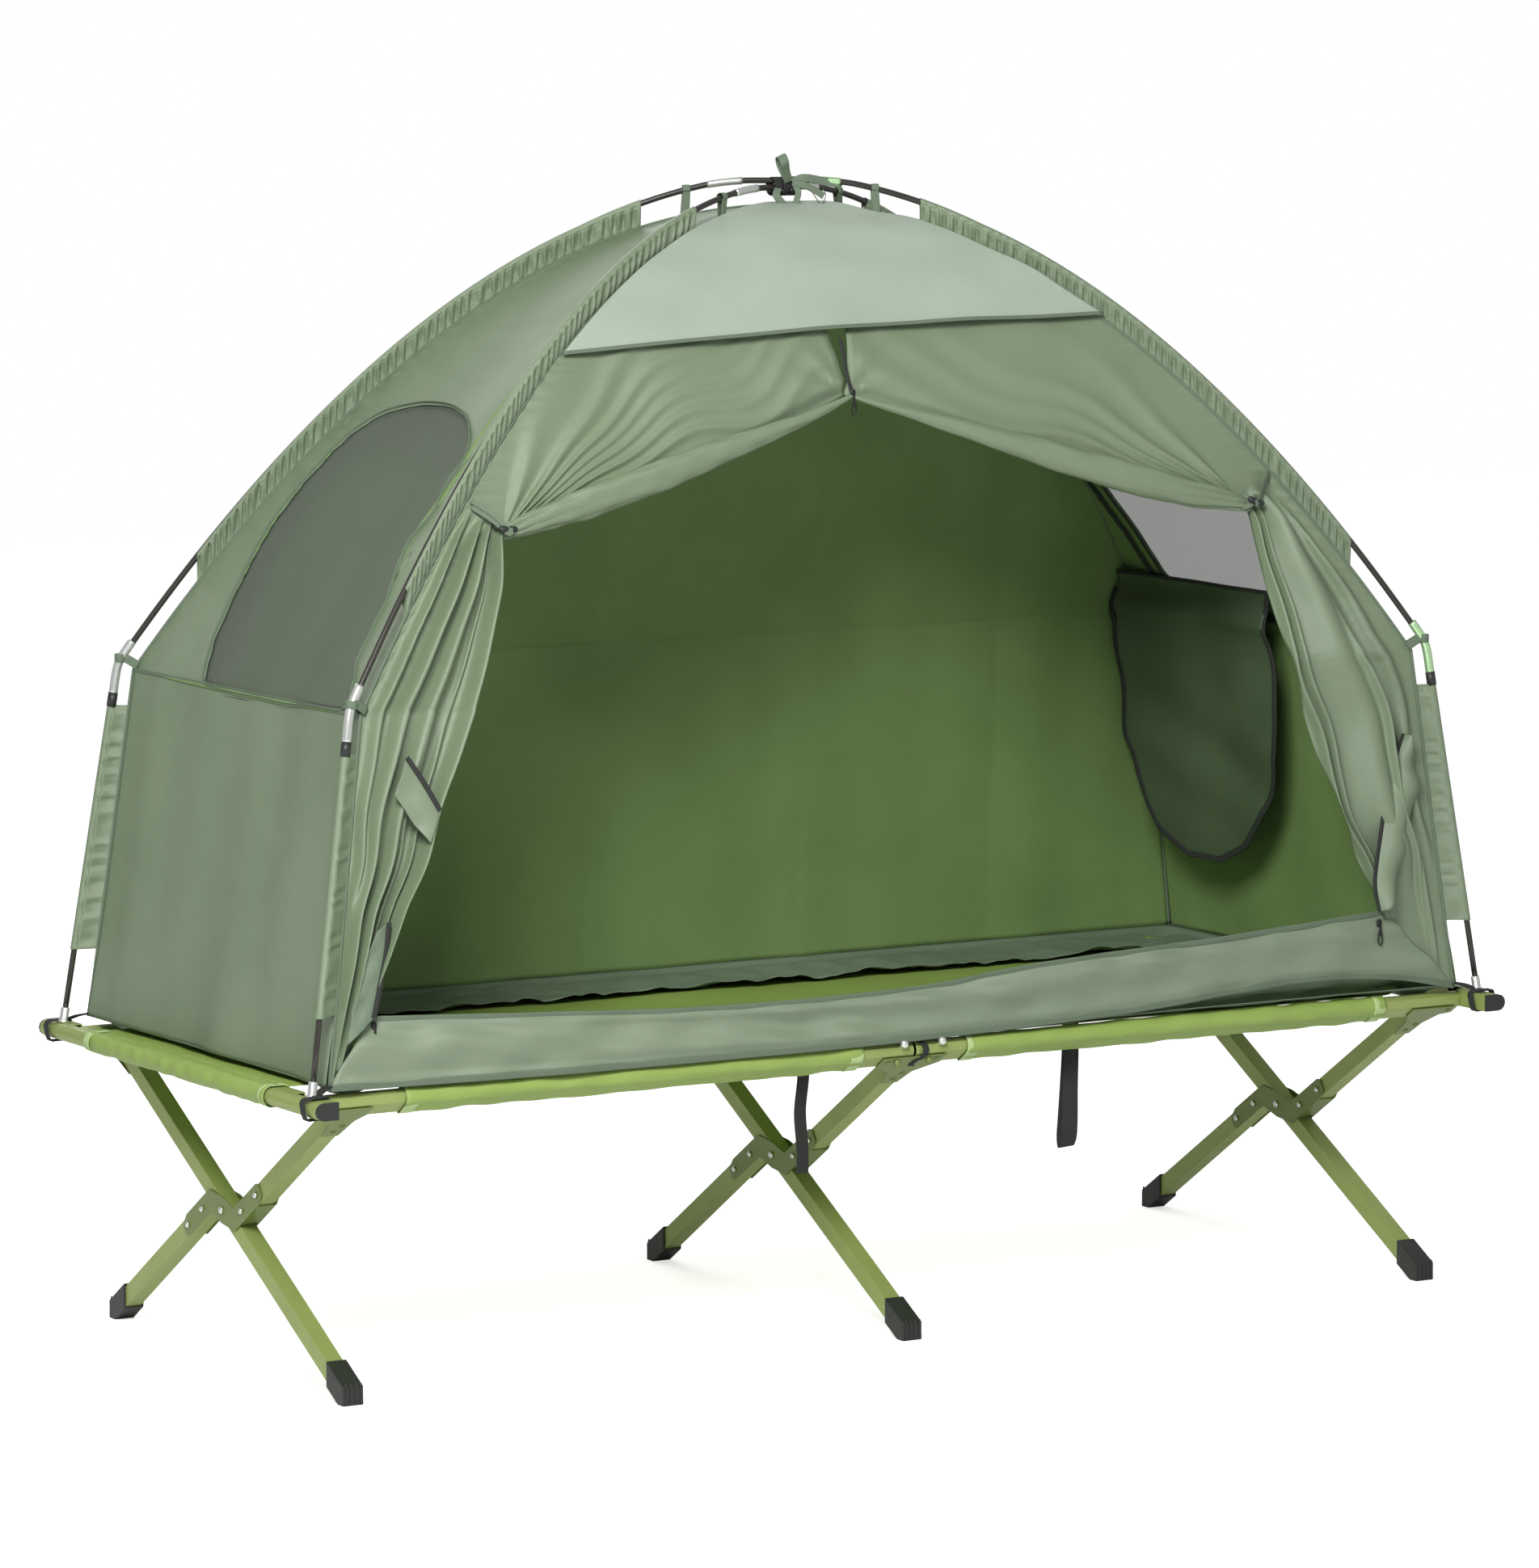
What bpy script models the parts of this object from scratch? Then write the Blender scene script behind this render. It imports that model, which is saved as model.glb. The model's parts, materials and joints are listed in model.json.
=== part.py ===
"""Pop-up tent on a folding camp bed.

Frame: metres, +Z up, X along the bed, -Y the door side, origin on the floor
under the middle of the bed.  One object is one piece.
"""
import math
import bpy
import bmesh
from mathutils import Vector

# ---------------------------------------------------------------- sizes
HALF_LEN = 0.950        # bed centre to the centre line of an end bar
BAR_LEN = 0.855         # end bar, length across the bed
TOP_Z = 1.600           # pole height at the crossing
LEG = 0.025             # square leg tube
ROD_R = 0.00425         # tent pole radius
BAR_X = 0.034           # end bar, size along X (rail tube uses the same section)
BAR_Z = 0.024           # end bar, height
BAR_CZ = 0.4135         # end bar, centre height
WALL = 0.0016           # wall of every aluminium tube
RAIL_Z = 0.4085         # side rail, centre height
PIVOT_Z = 0.211         # height of the scissor pivots
LEG_OFF = 0.0265        # split leg halves sit this far off the pivot line
PLATE = 0.0018          # pressed plate thickness
GAP = 0.0003            # running gap between neighbouring pieces
FLOOR_Z = 0.434         # underside of the tent
CLOTH = 0.0012          # cloth thickness
FOOT_Z = 0.0050         # lowest corner of a leg, inside its boot

# sizes that follow from the ones above
RAIL_Y = BAR_LEN / 2 - 0.0755       # bed centre to the centre line of a side rail
LEG_X = HALF_LEN - 0.071            # end legs from the bed centre
PIN_X = HALF_LEN                    # pole pins, on the end bars
PIN_Y = BAR_LEN / 2 - 0.0425
TENT_X = PIN_X - 0.033              # tent floor corner
TENT_Y = PIN_Y - 0.013
LONG = PIN_X / 0.950                # outlines drawn for the standard tent grow with these three
DEEP = PIN_Y / 0.385
HIGH = (TOP_Z - FLOOR_Z) / 1.166
PHI = math.atan2(PIN_Y, PIN_X)
CPH, SPH = math.cos(PHI), math.sin(PHI)
PIN_S = math.hypot(PIN_X, PIN_Y)
WIDE = PIN_S / math.hypot(0.950, 0.385)
FLOOR_S = math.hypot(TENT_X, TENT_Y)
ANG_B = math.atan2(RAIL_Z - PIVOT_Z, RAIL_Y)
RAIL_R = math.hypot(RAIL_Z - PIVOT_Z, RAIL_Y)
ANG_A = ANG_B + math.asin(LEG_OFF / RAIL_R)
RAIL_T = RAIL_R * math.cos(ANG_A - ANG_B)     # rail centre measured along the split leg
BAR_TOP = BAR_CZ + BAR_Z / 2


def high(z):
    """Height on this tent of a point drawn for the standard tent."""
    return FLOOR_Z + (z - 0.434) * HIGH


ELBOW_Z = high(0.934)
ELBOW_S = 0.943 * WIDE
ARCH_K = (TOP_Z - high(0.93306)) / ELBOW_S ** 2     # pole arch: z = TOP_Z - ARCH_K * s^2
RIDGE_TOP = high(1.572)                             # canopy seam under the crossing
BEND_S, BEND_Z = 0.921 * WIDE, high(0.925)          # canopy seam where the wall turns steep
HIP_S, HIP_Z = 0.9575 * WIDE, high(0.660)

for ob in list(bpy.data.objects):
    bpy.data.objects.remove(ob, do_unlink=True)
scene = bpy.context.scene
parts = bpy.data.collections.new("parts")
cutters = bpy.data.collections.new("cutters")
scene.collection.children.link(parts)
scene.collection.children.link(cutters)


# ---------------------------------------------------------------- helpers
def mesh_object(name, verts, faces, coll=parts):
    me = bpy.data.meshes.new(name)
    me.from_pydata([tuple(v) for v in verts], [], faces)
    bm = bmesh.new()
    bm.from_mesh(me)
    bmesh.ops.recalc_face_normals(bm, faces=bm.faces)
    if bm.calc_volume(signed=True) < 0:
        bmesh.ops.reverse_faces(bm, faces=bm.faces)
    bm.to_mesh(me)
    bm.free()
    me.update()
    ob = bpy.data.objects.new(name, me)
    coll.objects.link(ob)
    return ob


def boolean(ob, tool, op):
    tool.hide_render = True
    tool.display_type = 'WIRE'
    if tool.name in parts.objects:
        parts.objects.unlink(tool)
        cutters.objects.link(tool)
    m = ob.modifiers.new(op.lower(), 'BOOLEAN')
    m.operation = op
    m.solver = 'EXACT'
    m.object = tool
    return ob


def bake(ob):
    """Freeze the modifiers so the piece can serve in the next step."""
    deps = bpy.context.evaluated_depsgraph_get()
    me = bpy.data.meshes.new_from_object(ob.evaluated_get(deps))
    ob.modifiers.clear()
    old = ob.data
    ob.data = me
    bpy.data.meshes.remove(old)
    return ob


def union(ob, *tools):
    for t in tools:
        boolean(ob, t, 'UNION')
        bake(ob)
    return ob


def cut(ob, *tools):
    for t in tools:
        boolean(ob, t, 'DIFFERENCE')
        bake(ob)
    return ob


def prism(name, poly, place, a, b, coll=parts):
    """Extrude polygon poly between a and b; place(u, v, w) gives the 3-D point."""
    n = len(poly)
    verts = [place(u, v, a) for u, v in poly] + [place(u, v, b) for u, v in poly]
    faces = [list(range(n))[::-1], list(range(n, 2 * n))]
    faces += [[i, (i + 1) % n, n + (i + 1) % n, n + i] for i in range(n)]
    return mesh_object(name, verts, faces, coll)


def tube(name, outer, inner, place, a, b, coll=parts):
    """Open-ended tube between two matching polygons."""
    n = len(outer)
    verts = []
    for w in (a, b):
        verts += [place(u, v, w) for u, v in outer] + [place(u, v, w) for u, v in inner]
    faces = []
    for i in range(n):
        j = (i + 1) % n
        faces += [[i, j, 2 * n + j, 2 * n + i], [n + i, 3 * n + i, 3 * n + j, n + j],
                  [i, n + i, n + j, j], [2 * n + i, 2 * n + j, 3 * n + j, 3 * n + i]]
    return mesh_object(name, verts, faces, coll)


def sweep(name, rings_out, rings_in=None, coll=parts):
    """Skin through rings of points; hollow when inner rings are given."""
    n, m = len(rings_out[0]), len(rings_out)
    verts = [p for r in rings_out for p in r]
    faces = [[k * n + i, k * n + (i + 1) % n, (k + 1) * n + (i + 1) % n, (k + 1) * n + i]
             for k in range(m - 1) for i in range(n)]
    if rings_in is None:
        faces += [list(range(n))[::-1], [(m - 1) * n + i for i in range(n)]]
    else:
        o = len(verts)
        verts += [p for r in rings_in for p in r]
        faces += [[o + k * n + i, o + (k + 1) * n + i, o + (k + 1) * n + (i + 1) % n, o + k * n + (i + 1) % n]
                  for k in range(m - 1) for i in range(n)]
        for k in (0, m - 1):
            faces += [[k * n + i, k * n + (i + 1) % n, o + k * n + (i + 1) % n, o + k * n + i] for i in range(n)]
    return mesh_object(name, verts, faces, coll)


def circle(r, n, phase=0.0):
    return [(r * math.cos(2 * math.pi * (i + phase) / n), r * math.sin(2 * math.pi * (i + phase) / n))
            for i in range(n)]


def cylinder(name, base, axis, r, length, n=10, r2=None, coll=parts):
    axis = Vector(axis).normalized()
    base = Vector(base)
    side = axis.orthogonal().normalized()
    other = axis.cross(side)
    r2 = r if r2 is None else r2
    rings = []
    for d, rad in ((0.0, r), (length, r2)):
        rings.append([base + axis * d + side * u + other * v for u, v in circle(rad, n, 0.5)])
    return sweep(name, rings, coll=coll)


def rivet(base, axis, r=0.0045, h=0.0022, n=8):
    """Low domed rivet head, rooted a little below its seat."""
    axis = Vector(axis).normalized()
    base = Vector(base)
    side = axis.orthogonal().normalized()
    other = axis.cross(side)
    rings = [[base + axis * d + side * u + other * v for u, v in circle(rad, n, 0.5)]
             for d, rad in ((-0.0009, r), (h * 0.35, r), (h, r * 0.5))]
    return sweep("rivet", rings)


def d_section(shrink=0.0, grow=0.0, arc=6):
    """D section: flat at -u, round nose at +u."""
    hu, hv = BAR_X / 2, BAR_Z / 2
    k = grow - shrink
    r = hv + k
    cu = hu - hv
    pts = [(-hu - k, -r), (cu, -r)]
    pts += [(cu + r * math.sin(math.pi * i / arc), -r * math.cos(math.pi * i / arc)) for i in range(1, arc)]
    pts += [(cu, r), (-hu - k, r)]
    return pts


# leg frames: u runs from the pivot towards the rail, v is the upper side of the leg
def leg_axes(front_up, ang):
    sy = -1.0 if front_up else 1.0
    u = Vector((0, sy * math.cos(ang), math.sin(ang)))
    v = Vector((0, -sy * math.sin(ang), math.cos(ang)))
    return u, v


def leg_place(x0, front_up, ang, off=0.0):
    """(along leg, across leg, X) to world; off shifts the axis along v."""
    u, v = leg_axes(front_up, ang)
    o = Vector((x0, 0, PIVOT_Z)) + v * off
    return lambda a, b, w: o + u * a + v * b + Vector((w, 0, 0))


SQ = [(-1, -1), (1, -1), (1, 1), (-1, 1)]


def line_to_z(place, b, w, z):
    p0, p1 = place(0, b, w), place(-1, b, w)
    return p0 + (p1 - p0) * ((z - p0.z) / (p1.z - p0.z))


def line_to_y(place, b, w, y):
    p0, p1 = place(0, b, w), place(-1, b, w)
    return p0 + (p1 - p0) * ((y - p0.y) / (p1.y - p0.y))


def leg_end_y(place):
    """Where a leg stops: upright cut through the point where its underside comes down to FOOT_Z."""
    return line_to_z(place, -LEG / 2, 0.0, FOOT_Z).y


def leg_tube(name, place, top, low):
    """Square tube; top is a distance along the leg, low too or None for the upright cut at the floor."""
    ho, hi = LEG / 2, LEG / 2 - WALL
    rings = []
    for h in (ho, hi):
        upper = [place(top, b * h, w * h) for b, w in SQ]
        if low is None:
            lower = [line_to_y(place, b * h, w * h, leg_end_y(place)) for b, w in SQ]
        else:
            lower = [place(low, b * h, w * h) for b, w in SQ]
        rings.append([lower, upper])
    return sweep(name, rings[0], rings[1])


def foot(name, place, y_side):
    """Moulded boot over the lower end of a leg: blunt upright toe, short flat sole."""
    ho, hi = LEG / 2 + 0.003, LEG / 2 + GAP
    y_in = leg_end_y(place) + y_side * GAP
    y_toe = y_in + y_side * 0.0200
    y_top = leg_end_y(place) - y_side * 0.0300
    heel = line_to_z(place, -ho, 0.0, 0.0)
    verts = []
    for w in (-ho, ho):
        verts += [line_to_y(place, ho, w, y_top), line_to_y(place, -ho, w, y_top), Vector((heel.x + w, heel.y, 0.0)),
                  Vector((heel.x + w, y_toe, 0.0)), line_to_y(place, ho, w, y_toe)]
    for w in (-hi, hi):
        verts += [line_to_y(place, hi, w, y_top), line_to_y(place, -hi, w, y_top), line_to_y(place, -hi, w, y_in), line_to_y(place, hi, w, y_in)]
    faces = [[1, 2, 7, 6], [2, 3, 8, 7], [3, 4, 9, 8], [4, 0, 5, 9], [0, 1, 2, 3, 4], [5, 9, 8, 7, 6],
             [11, 12, 16, 15], [12, 13, 17, 16], [13, 10, 14, 17], [10, 13, 12, 11], [14, 15, 16, 17],
             [0, 5, 14, 10], [1, 11, 15, 6], [0, 10, 11, 1], [5, 6, 15, 14]]
    return mesh_object(name, verts, faces)


# ---------------------------------------------------------------- camp bed frame
LEGS = (("left", -LEG_X), ("mid", 0.0), ("right", LEG_X))
LEG_TOP_A = RAIL_T - BAR_X / 2 - GAP
LEG_TOP_B = RAIL_R - BAR_X / 2 - GAP
A_START = 0.040

for tag, x0 in LEGS:
    # continuous leg: back rail to front foot
    pb = leg_place(x0, False, ANG_B)
    leg = leg_tube("back_leg_" + tag, pb, LEG_TOP_B, None)
    cut(leg, cylinder("hole", (x0 - 0.02, 0, PIVOT_Z), (1, 0, 0), 0.0036, 0.04, 8))
    foot("front_foot_" + tag, pb, -1)

    # split leg: front rail to bracket, bracket to back foot
    pu = leg_place(x0, True, ANG_A, -LEG_OFF)
    pl = leg_place(x0, True, ANG_A, LEG_OFF)
    leg_tube("front_leg_upper_" + tag, pu, LEG_TOP_A, A_START)
    leg_tube("front_leg_lower_" + tag, pl, -A_START, None)
    foot("back_foot_" + tag, pl, 1)

    # scissor bracket: two cranked plates, a web under each leg half, rivets and the pivot
    pc = leg_place(x0, True, ANG_A)
    h = LEG / 2 + GAP
    lo, hi = LEG_OFF - h, LEG_OFF + h + PLATE
    outline = [(0.020, -hi), (0.105, -hi), (0.122, -hi + 0.007), (0.122, -lo - 0.004), (0.116, -lo + 0.001),
               (0.034, -lo + 0.001), (0.010, 0.016), (-0.020, hi), (-0.105, hi), (-0.122, hi - 0.007),
               (-0.122, lo + 0.004), (-0.116, lo - 0.001), (-0.034, lo - 0.001), (-0.010, -0.016)]
    wi = LEG / 2 + 0.0006
    plate = prism("scissor_bracket_" + tag, outline, pc, -wi - PLATE, -wi)
    other = prism("plate", outline, pc, wi, wi + PLATE)
    web_u = prism("web", [(0.042, -hi + 0.0002), (0.102, -hi + 0.0002), (0.102, -hi + PLATE), (0.042, -hi + PLATE)], pc, -wi - 0.001, wi + 0.001)
    web_l = prism("web", [(-0.102, hi - PLATE), (-0.042, hi - PLATE), (-0.042, hi - 0.0002), (-0.102, hi - 0.0002)], pc, -wi - 0.001, wi + 0.001)
    pin = cylinder("pin", (x0 - wi - PLATE - 0.0015, 0, PIVOT_Z), (1, 0, 0), 0.0030, 2 * (wi + PLATE + 0.0015), 8)
    heads = []
    for sx in (-1, 1):
        w = sx * (wi + PLATE)
        heads.append(rivet(Vector((x0 + w, 0, PIVOT_Z)), (sx, 0, 0), 0.0055, 0.0026))
        for a, b in ((0.055, -LEG_OFF), (0.108, -LEG_OFF), (-0.055, LEG_OFF), (-0.108, LEG_OFF)):
            heads.append(rivet(pc(a, b, w), (sx, 0, 0)))
    union(plate, web_u, web_l, other, pin, *heads)

    # top brackets: a plate on the underside of leg and rail
    for side, place, top in (("front", pu, RAIL_T), ("back", pb, RAIL_R)):
        seat = -LEG / 2 - GAP
        sgn = -1.0 if x0 < -0.1 else 1.0
        if tag == "mid":
            shape = [(-0.013, top - 0.075), (0.013, top - 0.075), (0.020, top - 0.040), (0.052, top - 0.014),
                     (0.052, top + 0.010), (-0.052, top + 0.010), (-0.052, top - 0.014), (-0.020, top - 0.040)]
        else:
            shape = [(-sgn * 0.013, top - 0.075), (sgn * 0.013, top - 0.075), (sgn * 0.016, top - 0.040),
                     (sgn * 0.030, top - 0.014), (sgn * 0.046, top - 0.010), (sgn * 0.046, top + 0.010),
                     (-sgn * 0.030, top + 0.010), (-sgn * 0.030, top - 0.010), (-sgn * 0.018, top - 0.030)]
        u, v = leg_axes(side == "front", ANG_A if side == "front" else ANG_B)
        br = prism("%s_bracket_%s" % (side, tag), shape, lambda p, q, w, pl=place: pl(q, w, p), seat - PLATE, seat)
        spots = [(0.0, top - 0.062), (0.006, top - 0.044)]
        spots += [(-0.040, top), (0.040, top)] if tag == "mid" else [(sgn * 0.038, top)]
        bits = [rivet(place(q, seat - PLATE, p), -v) for p, q in spots]
        if tag == "mid":
            for p in (-0.026, 0.026):
                bits.append(rivet(place(top + 0.001, seat - PLATE, p), -v, 0.0060, 0.0075))
        union(br, *bits)


# side rails, two halves each, with an end plate and a stud
def rail_place(front):
    u, v = leg_axes(front, ANG_A if front else ANG_B)
    o = Vector((0, -RAIL_Y if front else RAIL_Y, RAIL_Z))
    return lambda a, b, w: o + u * a + v * b + Vector((w, 0, 0))


RAIL_END = HALF_LEN - BAR_X / 2 - GAP
for side, front in (("front", True), ("back", False)):
    place = rail_place(front)
    for tag, sx in (("left", -1), ("right", 1)):
        rail = tube("%s_rail_%s" % (side, tag), d_section(), d_section(shrink=WALL), place, sx * 0.002, sx * RAIL_END)
        plug = prism("plug", d_section(shrink=WALL * 0.5), place, sx * (RAIL_END - 0.004), sx * RAIL_END)
        c = place(0, 0, sx * (RAIL_END - 0.002))
        stud = cylinder("stud", c, (sx, 0, 0), 0.005, 0.014, 8)
        union(rail, plug, stud)

# ---------------------------------------------------------------- end bars
for tag, sx in (("left", -1), ("right", 1)):
    def bar_place(a, b, w, sx=sx):
        return Vector((sx * (HALF_LEN + a), w, BAR_CZ + b))
    bar = tube("end_bar_" + tag, d_section(), d_section(shrink=WALL), bar_place, -BAR_LEN / 2, BAR_LEN / 2)
    face = HALF_LEN - BAR_X / 2
    for sy in (-1, 1):
        # hook slot for the rail stud, open upwards and towards the middle
        zs = RAIL_Z
        slot = [(sy * (RAIL_Y + 0.0065), zs - 0.0062), (sy * (RAIL_Y + 0.0065), BAR_TOP + 0.004),
                (sy * (RAIL_Y - 0.022), BAR_TOP + 0.004), (sy * (RAIL_Y - 0.0068), zs - 0.0035), (sy * (RAIL_Y - 0.0055), zs - 0.0062)]
        cut(bar, prism("slot", slot, lambda p, q, w, sx=sx: Vector((sx * w, p, q)), face - 0.003, face + 0.0165))
        union(bar, cylinder("pin", (sx * PIN_X, sy * PIN_Y, BAR_TOP - 0.001), (0, 0, 1), 0.003, 0.011, 8, 0.0022))
        cap_y = sy * (BAR_LEN / 2 + GAP)
        cap = prism("end_cap_%s_%s" % (tag, "front" if sy < 0 else "back"), d_section(), bar_place, cap_y, cap_y + sy * 0.0035)
        union(cap, prism("plug", d_section(shrink=WALL + GAP), bar_place, cap_y + sy * 0.001, cap_y - sy * 0.010))

# ---------------------------------------------------------------- bed fabric
SHEET_Z0, SHEET_Z1 = 0.4240, 0.4254
SLEEVE = BAR_LEN / 2 - 0.1475       # half the width of the sleeve round an end bar
edge = RAIL_Y + 0.0045
hem = RAIL_Y - 0.020
tx0, tx1 = 0.085, HALF_LEN - 0.150
steps = [(HALF_LEN - 0.0180, SLEEVE), (HALF_LEN - 0.080, SLEEVE + 0.010), (HALF_LEN - 0.115, hem), (tx1, edge), (tx0, edge), (tx0 - 0.02, hem)]
outl = []
for sy in (-1, 1):
    row = [(-x, sy * y) for x, y in steps] + [(x, sy * y) for x, y in steps[::-1]]
    outl += row if sy < 0 else row[::-1]
bed = prism("bed_fabric", outl, lambda p, q, w: Vector((p, q, w)), SHEET_Z0, SHEET_Z1)
for front in (True, False):
    place = rail_place(front)
    for sx in (-1, 1):
        union(bed, tube("tunnel", d_section(grow=0.0004 + CLOTH), d_section(grow=0.0004), place, sx * tx0, sx * tx1))
for sx in (-1, 1):
    def sleeve_place(a, b, w, sx=sx):
        return Vector((sx * (HALF_LEN + a), w, BAR_CZ + b))
    union(bed, tube("sleeve", d_section(grow=0.0004 + CLOTH), d_section(grow=0.0004), sleeve_place, -SLEEVE, SLEEVE))


# ---------------------------------------------------------------- tent poles
def arch_z(s):
    return TOP_Z - ARCH_K * s * s


LOW_SLOPE = (PIN_S - ELBOW_S) / (ELBOW_Z - BAR_TOP)
TAN_S = 0.915 * WIDE
TAN = Vector((TAN_S - ELBOW_S, arch_z(TAN_S) - ELBOW_Z))
ELBOW_ARM = min(0.040, 0.8 * TAN.length)      # the sleeve's upper arm ends before the pole bends
TAN.normalize()


def low_s(z):
    return PIN_S - LOW_SLOPE * (z - BAR_TOP)


def lift(s, over):
    """Clearance of the upper pole where the two cross."""
    s = abs(s)
    return 0.0095 * over * (1.0 if s <= 0.1 else max(0.0, 1.0 - (s - 0.1) / 0.19))


SAMPLES = [s * WIDE for s in (0.9385, 0.915, 0.83, 0.74, 0.65, 0.56, 0.47, 0.38, 0.29, 0.20, 0.10)]


def arch_path(over):
    half = []
    for s in SAMPLES:
        if s > TAN_S + 0.005:
            t = (s - ELBOW_S) / TAN.x
            half.append(Vector((s, ELBOW_Z + TAN.y * t)))
        else:
            half.append(Vector((s, arch_z(s) + lift(s, over))))
    path = [Vector((-p.x, p.y)) for p in half] + [Vector((0.0, TOP_Z + lift(0, over) - 0.0035))] + half[::-1]
    return path


def ring_along(path, r, n, diag):
    """Rings square to a path lying in a diagonal plane; diag = direction of +s in plan."""
    rings = []
    for k, p in enumerate(path):
        a = path[max(k - 1, 0)]
        b = path[min(k + 1, len(path) - 1)]
        t = (b - a).normalized()
        nrm = Vector((-t.y, t.x))
        ring = []
        for c, d in circle(r, n, 0.5):
            q = p + nrm * c
            ring.append(Vector((diag[0] * q.x - diag[1] * d, diag[1] * q.x + diag[0] * d, q.y)))
        rings.append(ring)
    return rings


DIAG = {"a": (CPH, SPH), "b": (CPH, -SPH)}     # pole a: front left to back right
CORNERS = {"front_left": ("a", -1), "back_right": ("a", 1), "back_left": ("b", -1), "front_right": ("b", 1)}
for pole in ("a", "b"):
    path = arch_path(1 if pole == "b" else 0)
    sweep("pole_arch_" + pole, ring_along(path, ROD_R, 8, DIAG[pole]))

for corner, (pole, sgn) in CORNERS.items():
    dg = DIAG[pole]
    z_top = ELBOW_Z - 0.012
    low = [Vector((sgn * low_s(z), z)) for z in (BAR_TOP + 0.010, z_top)]
    rod = sweep("lower_rod_" + corner, ring_along(low, ROD_R, 8, dg))
    fer = [Vector((sgn * low_s(z), z)) for z in (BAR_TOP + GAP, BAR_TOP + 0.022)]
    fer_rings = ring_along(fer, ROD_R + 0.00195, 8, dg)
    fer_rings[0] = [Vector((q.x, q.y, BAR_TOP + GAP)) for q in fer_rings[0]]      # sits level on the bar
    union(rod, sweep("ferrule", fer_rings))
    cut(rod, cylinder("bore", (sgn * dg[0] * PIN_S, sgn * dg[1] * PIN_S, BAR_TOP - 0.002), (0, 0, 1), 0.0053, 0.014, 8))
    el = [Vector((sgn * low_s(z), z)) for z in (ELBOW_Z - 0.042, ELBOW_Z - 0.006)]
    el += [Vector((sgn * (ELBOW_S + TAN.x * 0.006), ELBOW_Z + TAN.y * 0.006)), Vector((sgn * (ELBOW_S + TAN.x * ELBOW_ARM), ELBOW_Z + TAN.y * ELBOW_ARM))]
    sweep("elbow_" + corner, ring_along(el, ROD_R + 0.00215, 8, dg), ring_along(el, ROD_R + 0.00085, 8, dg))


# ---------------------------------------------------------------- canopy
def ridge_z(s):
    return RIDGE_TOP - (RIDGE_TOP - BEND_Z) * (s / BEND_S) ** 2


RIDGE = [(FLOOR_S, FLOOR_Z), (HIP_S, HIP_Z), (BEND_S, BEND_Z)]
RIDGE += [(s * WIDE, ridge_z(s * WIDE)) for s in (0.83, 0.74, 0.65, 0.56, 0.47, 0.38, 0.29, 0.20, 0.11, 0.035)]


def offset_profile(prof, k, d):
    """Move a (distance, height) profile inwards by d, square to itself."""
    out = []
    for i, (r, z) in enumerate(prof):
        segs = []
        for a, b in ((i - 1, i), (i, i + 1)):
            if 0 <= a and b < len(prof):
                t = Vector((k * (prof[b][0] - prof[a][0]), prof[b][1] - prof[a][1])).normalized()
                segs.append(Vector((-abs(t.y), -abs(t.x))))
        n = sum(segs, Vector((0, 0))).normalized()
        c = max(0.5, n.dot(segs[0]))
        out.append((k * r + n.x * d / c, z + n.y * d / c))
    return out


def panel(name, side, setback, off0=0.0, prof=RIDGE, thick=CLOTH, coll=parts):
    """Wall between two poles, one flat strip per step of the ridge."""
    k, other = (SPH, CPH / SPH) if side in ("front", "back") else (CPH, SPH / CPH)
    sgn = -1.0 if side in ("front", "left") else 1.0
    verts = []
    rows = len(prof)
    for d in (off0, off0 + thick):
        for (r, z), (q, zz) in zip(prof, offset_profile(prof, k, d)):
            half = k * r * other - setback
            for e in (-1, 1):
                verts.append(Vector((e * half, sgn * q, zz)) if side in ("front", "back") else Vector((sgn * q, e * half, zz)))
    faces = []
    o = 2 * rows
    for i in range(rows - 1):
        a, b, c, d = 2 * i, 2 * i + 1, 2 * i + 3, 2 * i + 2
        faces += [[a, b, c, d], [o + a, o + d, o + c, o + b], [a, d, o + d, o + a], [b, o + b, o + c, c]]
    faces += [[0, o, o + 1, 1], [o - 2, o - 1, 2 * o - 1, 2 * o - 2]]
    return mesh_object(name, verts, faces, coll)


def along_x(p, q, w):
    return Vector((w, p, q))


def along_y(p, q, w):
    return Vector((p, w, q))


# window outlines in (y, z); the far end's window is the near one turned half round
WIN = [(0.150, 0.930), (0.189, 0.990), (0.215, 1.060), (0.222, 1.130), (0.212, 1.200), (0.180, 1.262), (0.120, 1.300), (0.040, 1.314),
       (-0.040, 1.305), (-0.110, 1.275), (-0.165, 1.220), (-0.200, 1.150), (-0.222, 1.070), (-0.255, 1.000), (-0.300, 0.945), (-0.305, 0.930)]
WIN_R = [(-0.180, 0.994)] + [(-y, z) for y, z in WIN if z > 0.995] + [(0.262, 0.994)]
WIN = [(y * DEEP, high(z)) for y, z in WIN]
WIN_R = [(y * DEEP, high(z)) for y, z in WIN_R]


def shrink(poly, d):
    cy = sum(p[0] for p in poly) / len(poly)
    cz = sum(p[1] for p in poly) / len(poly)
    out = []
    n = len(poly)
    area = sum(poly[i][0] * poly[(i + 1) % n][1] - poly[(i + 1) % n][0] * poly[i][1] for i in range(n))
    s = 1.0 if area > 0 else -1.0
    for i in range(n):
        a, b, c = Vector(poly[i - 1]), Vector(poly[i]), Vector(poly[(i + 1) % n])
        e1, e2 = (b - a).normalized(), (c - b).normalized()
        n1, n2 = Vector((-e1.y, e1.x)) * s, Vector((-e2.y, e2.x)) * s
        m = (n1 + n2).normalized()
        b2 = b + m * (d / max(0.4, m.dot(n1)))
        out.append((b2.x, b2.y))
    return out


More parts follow.
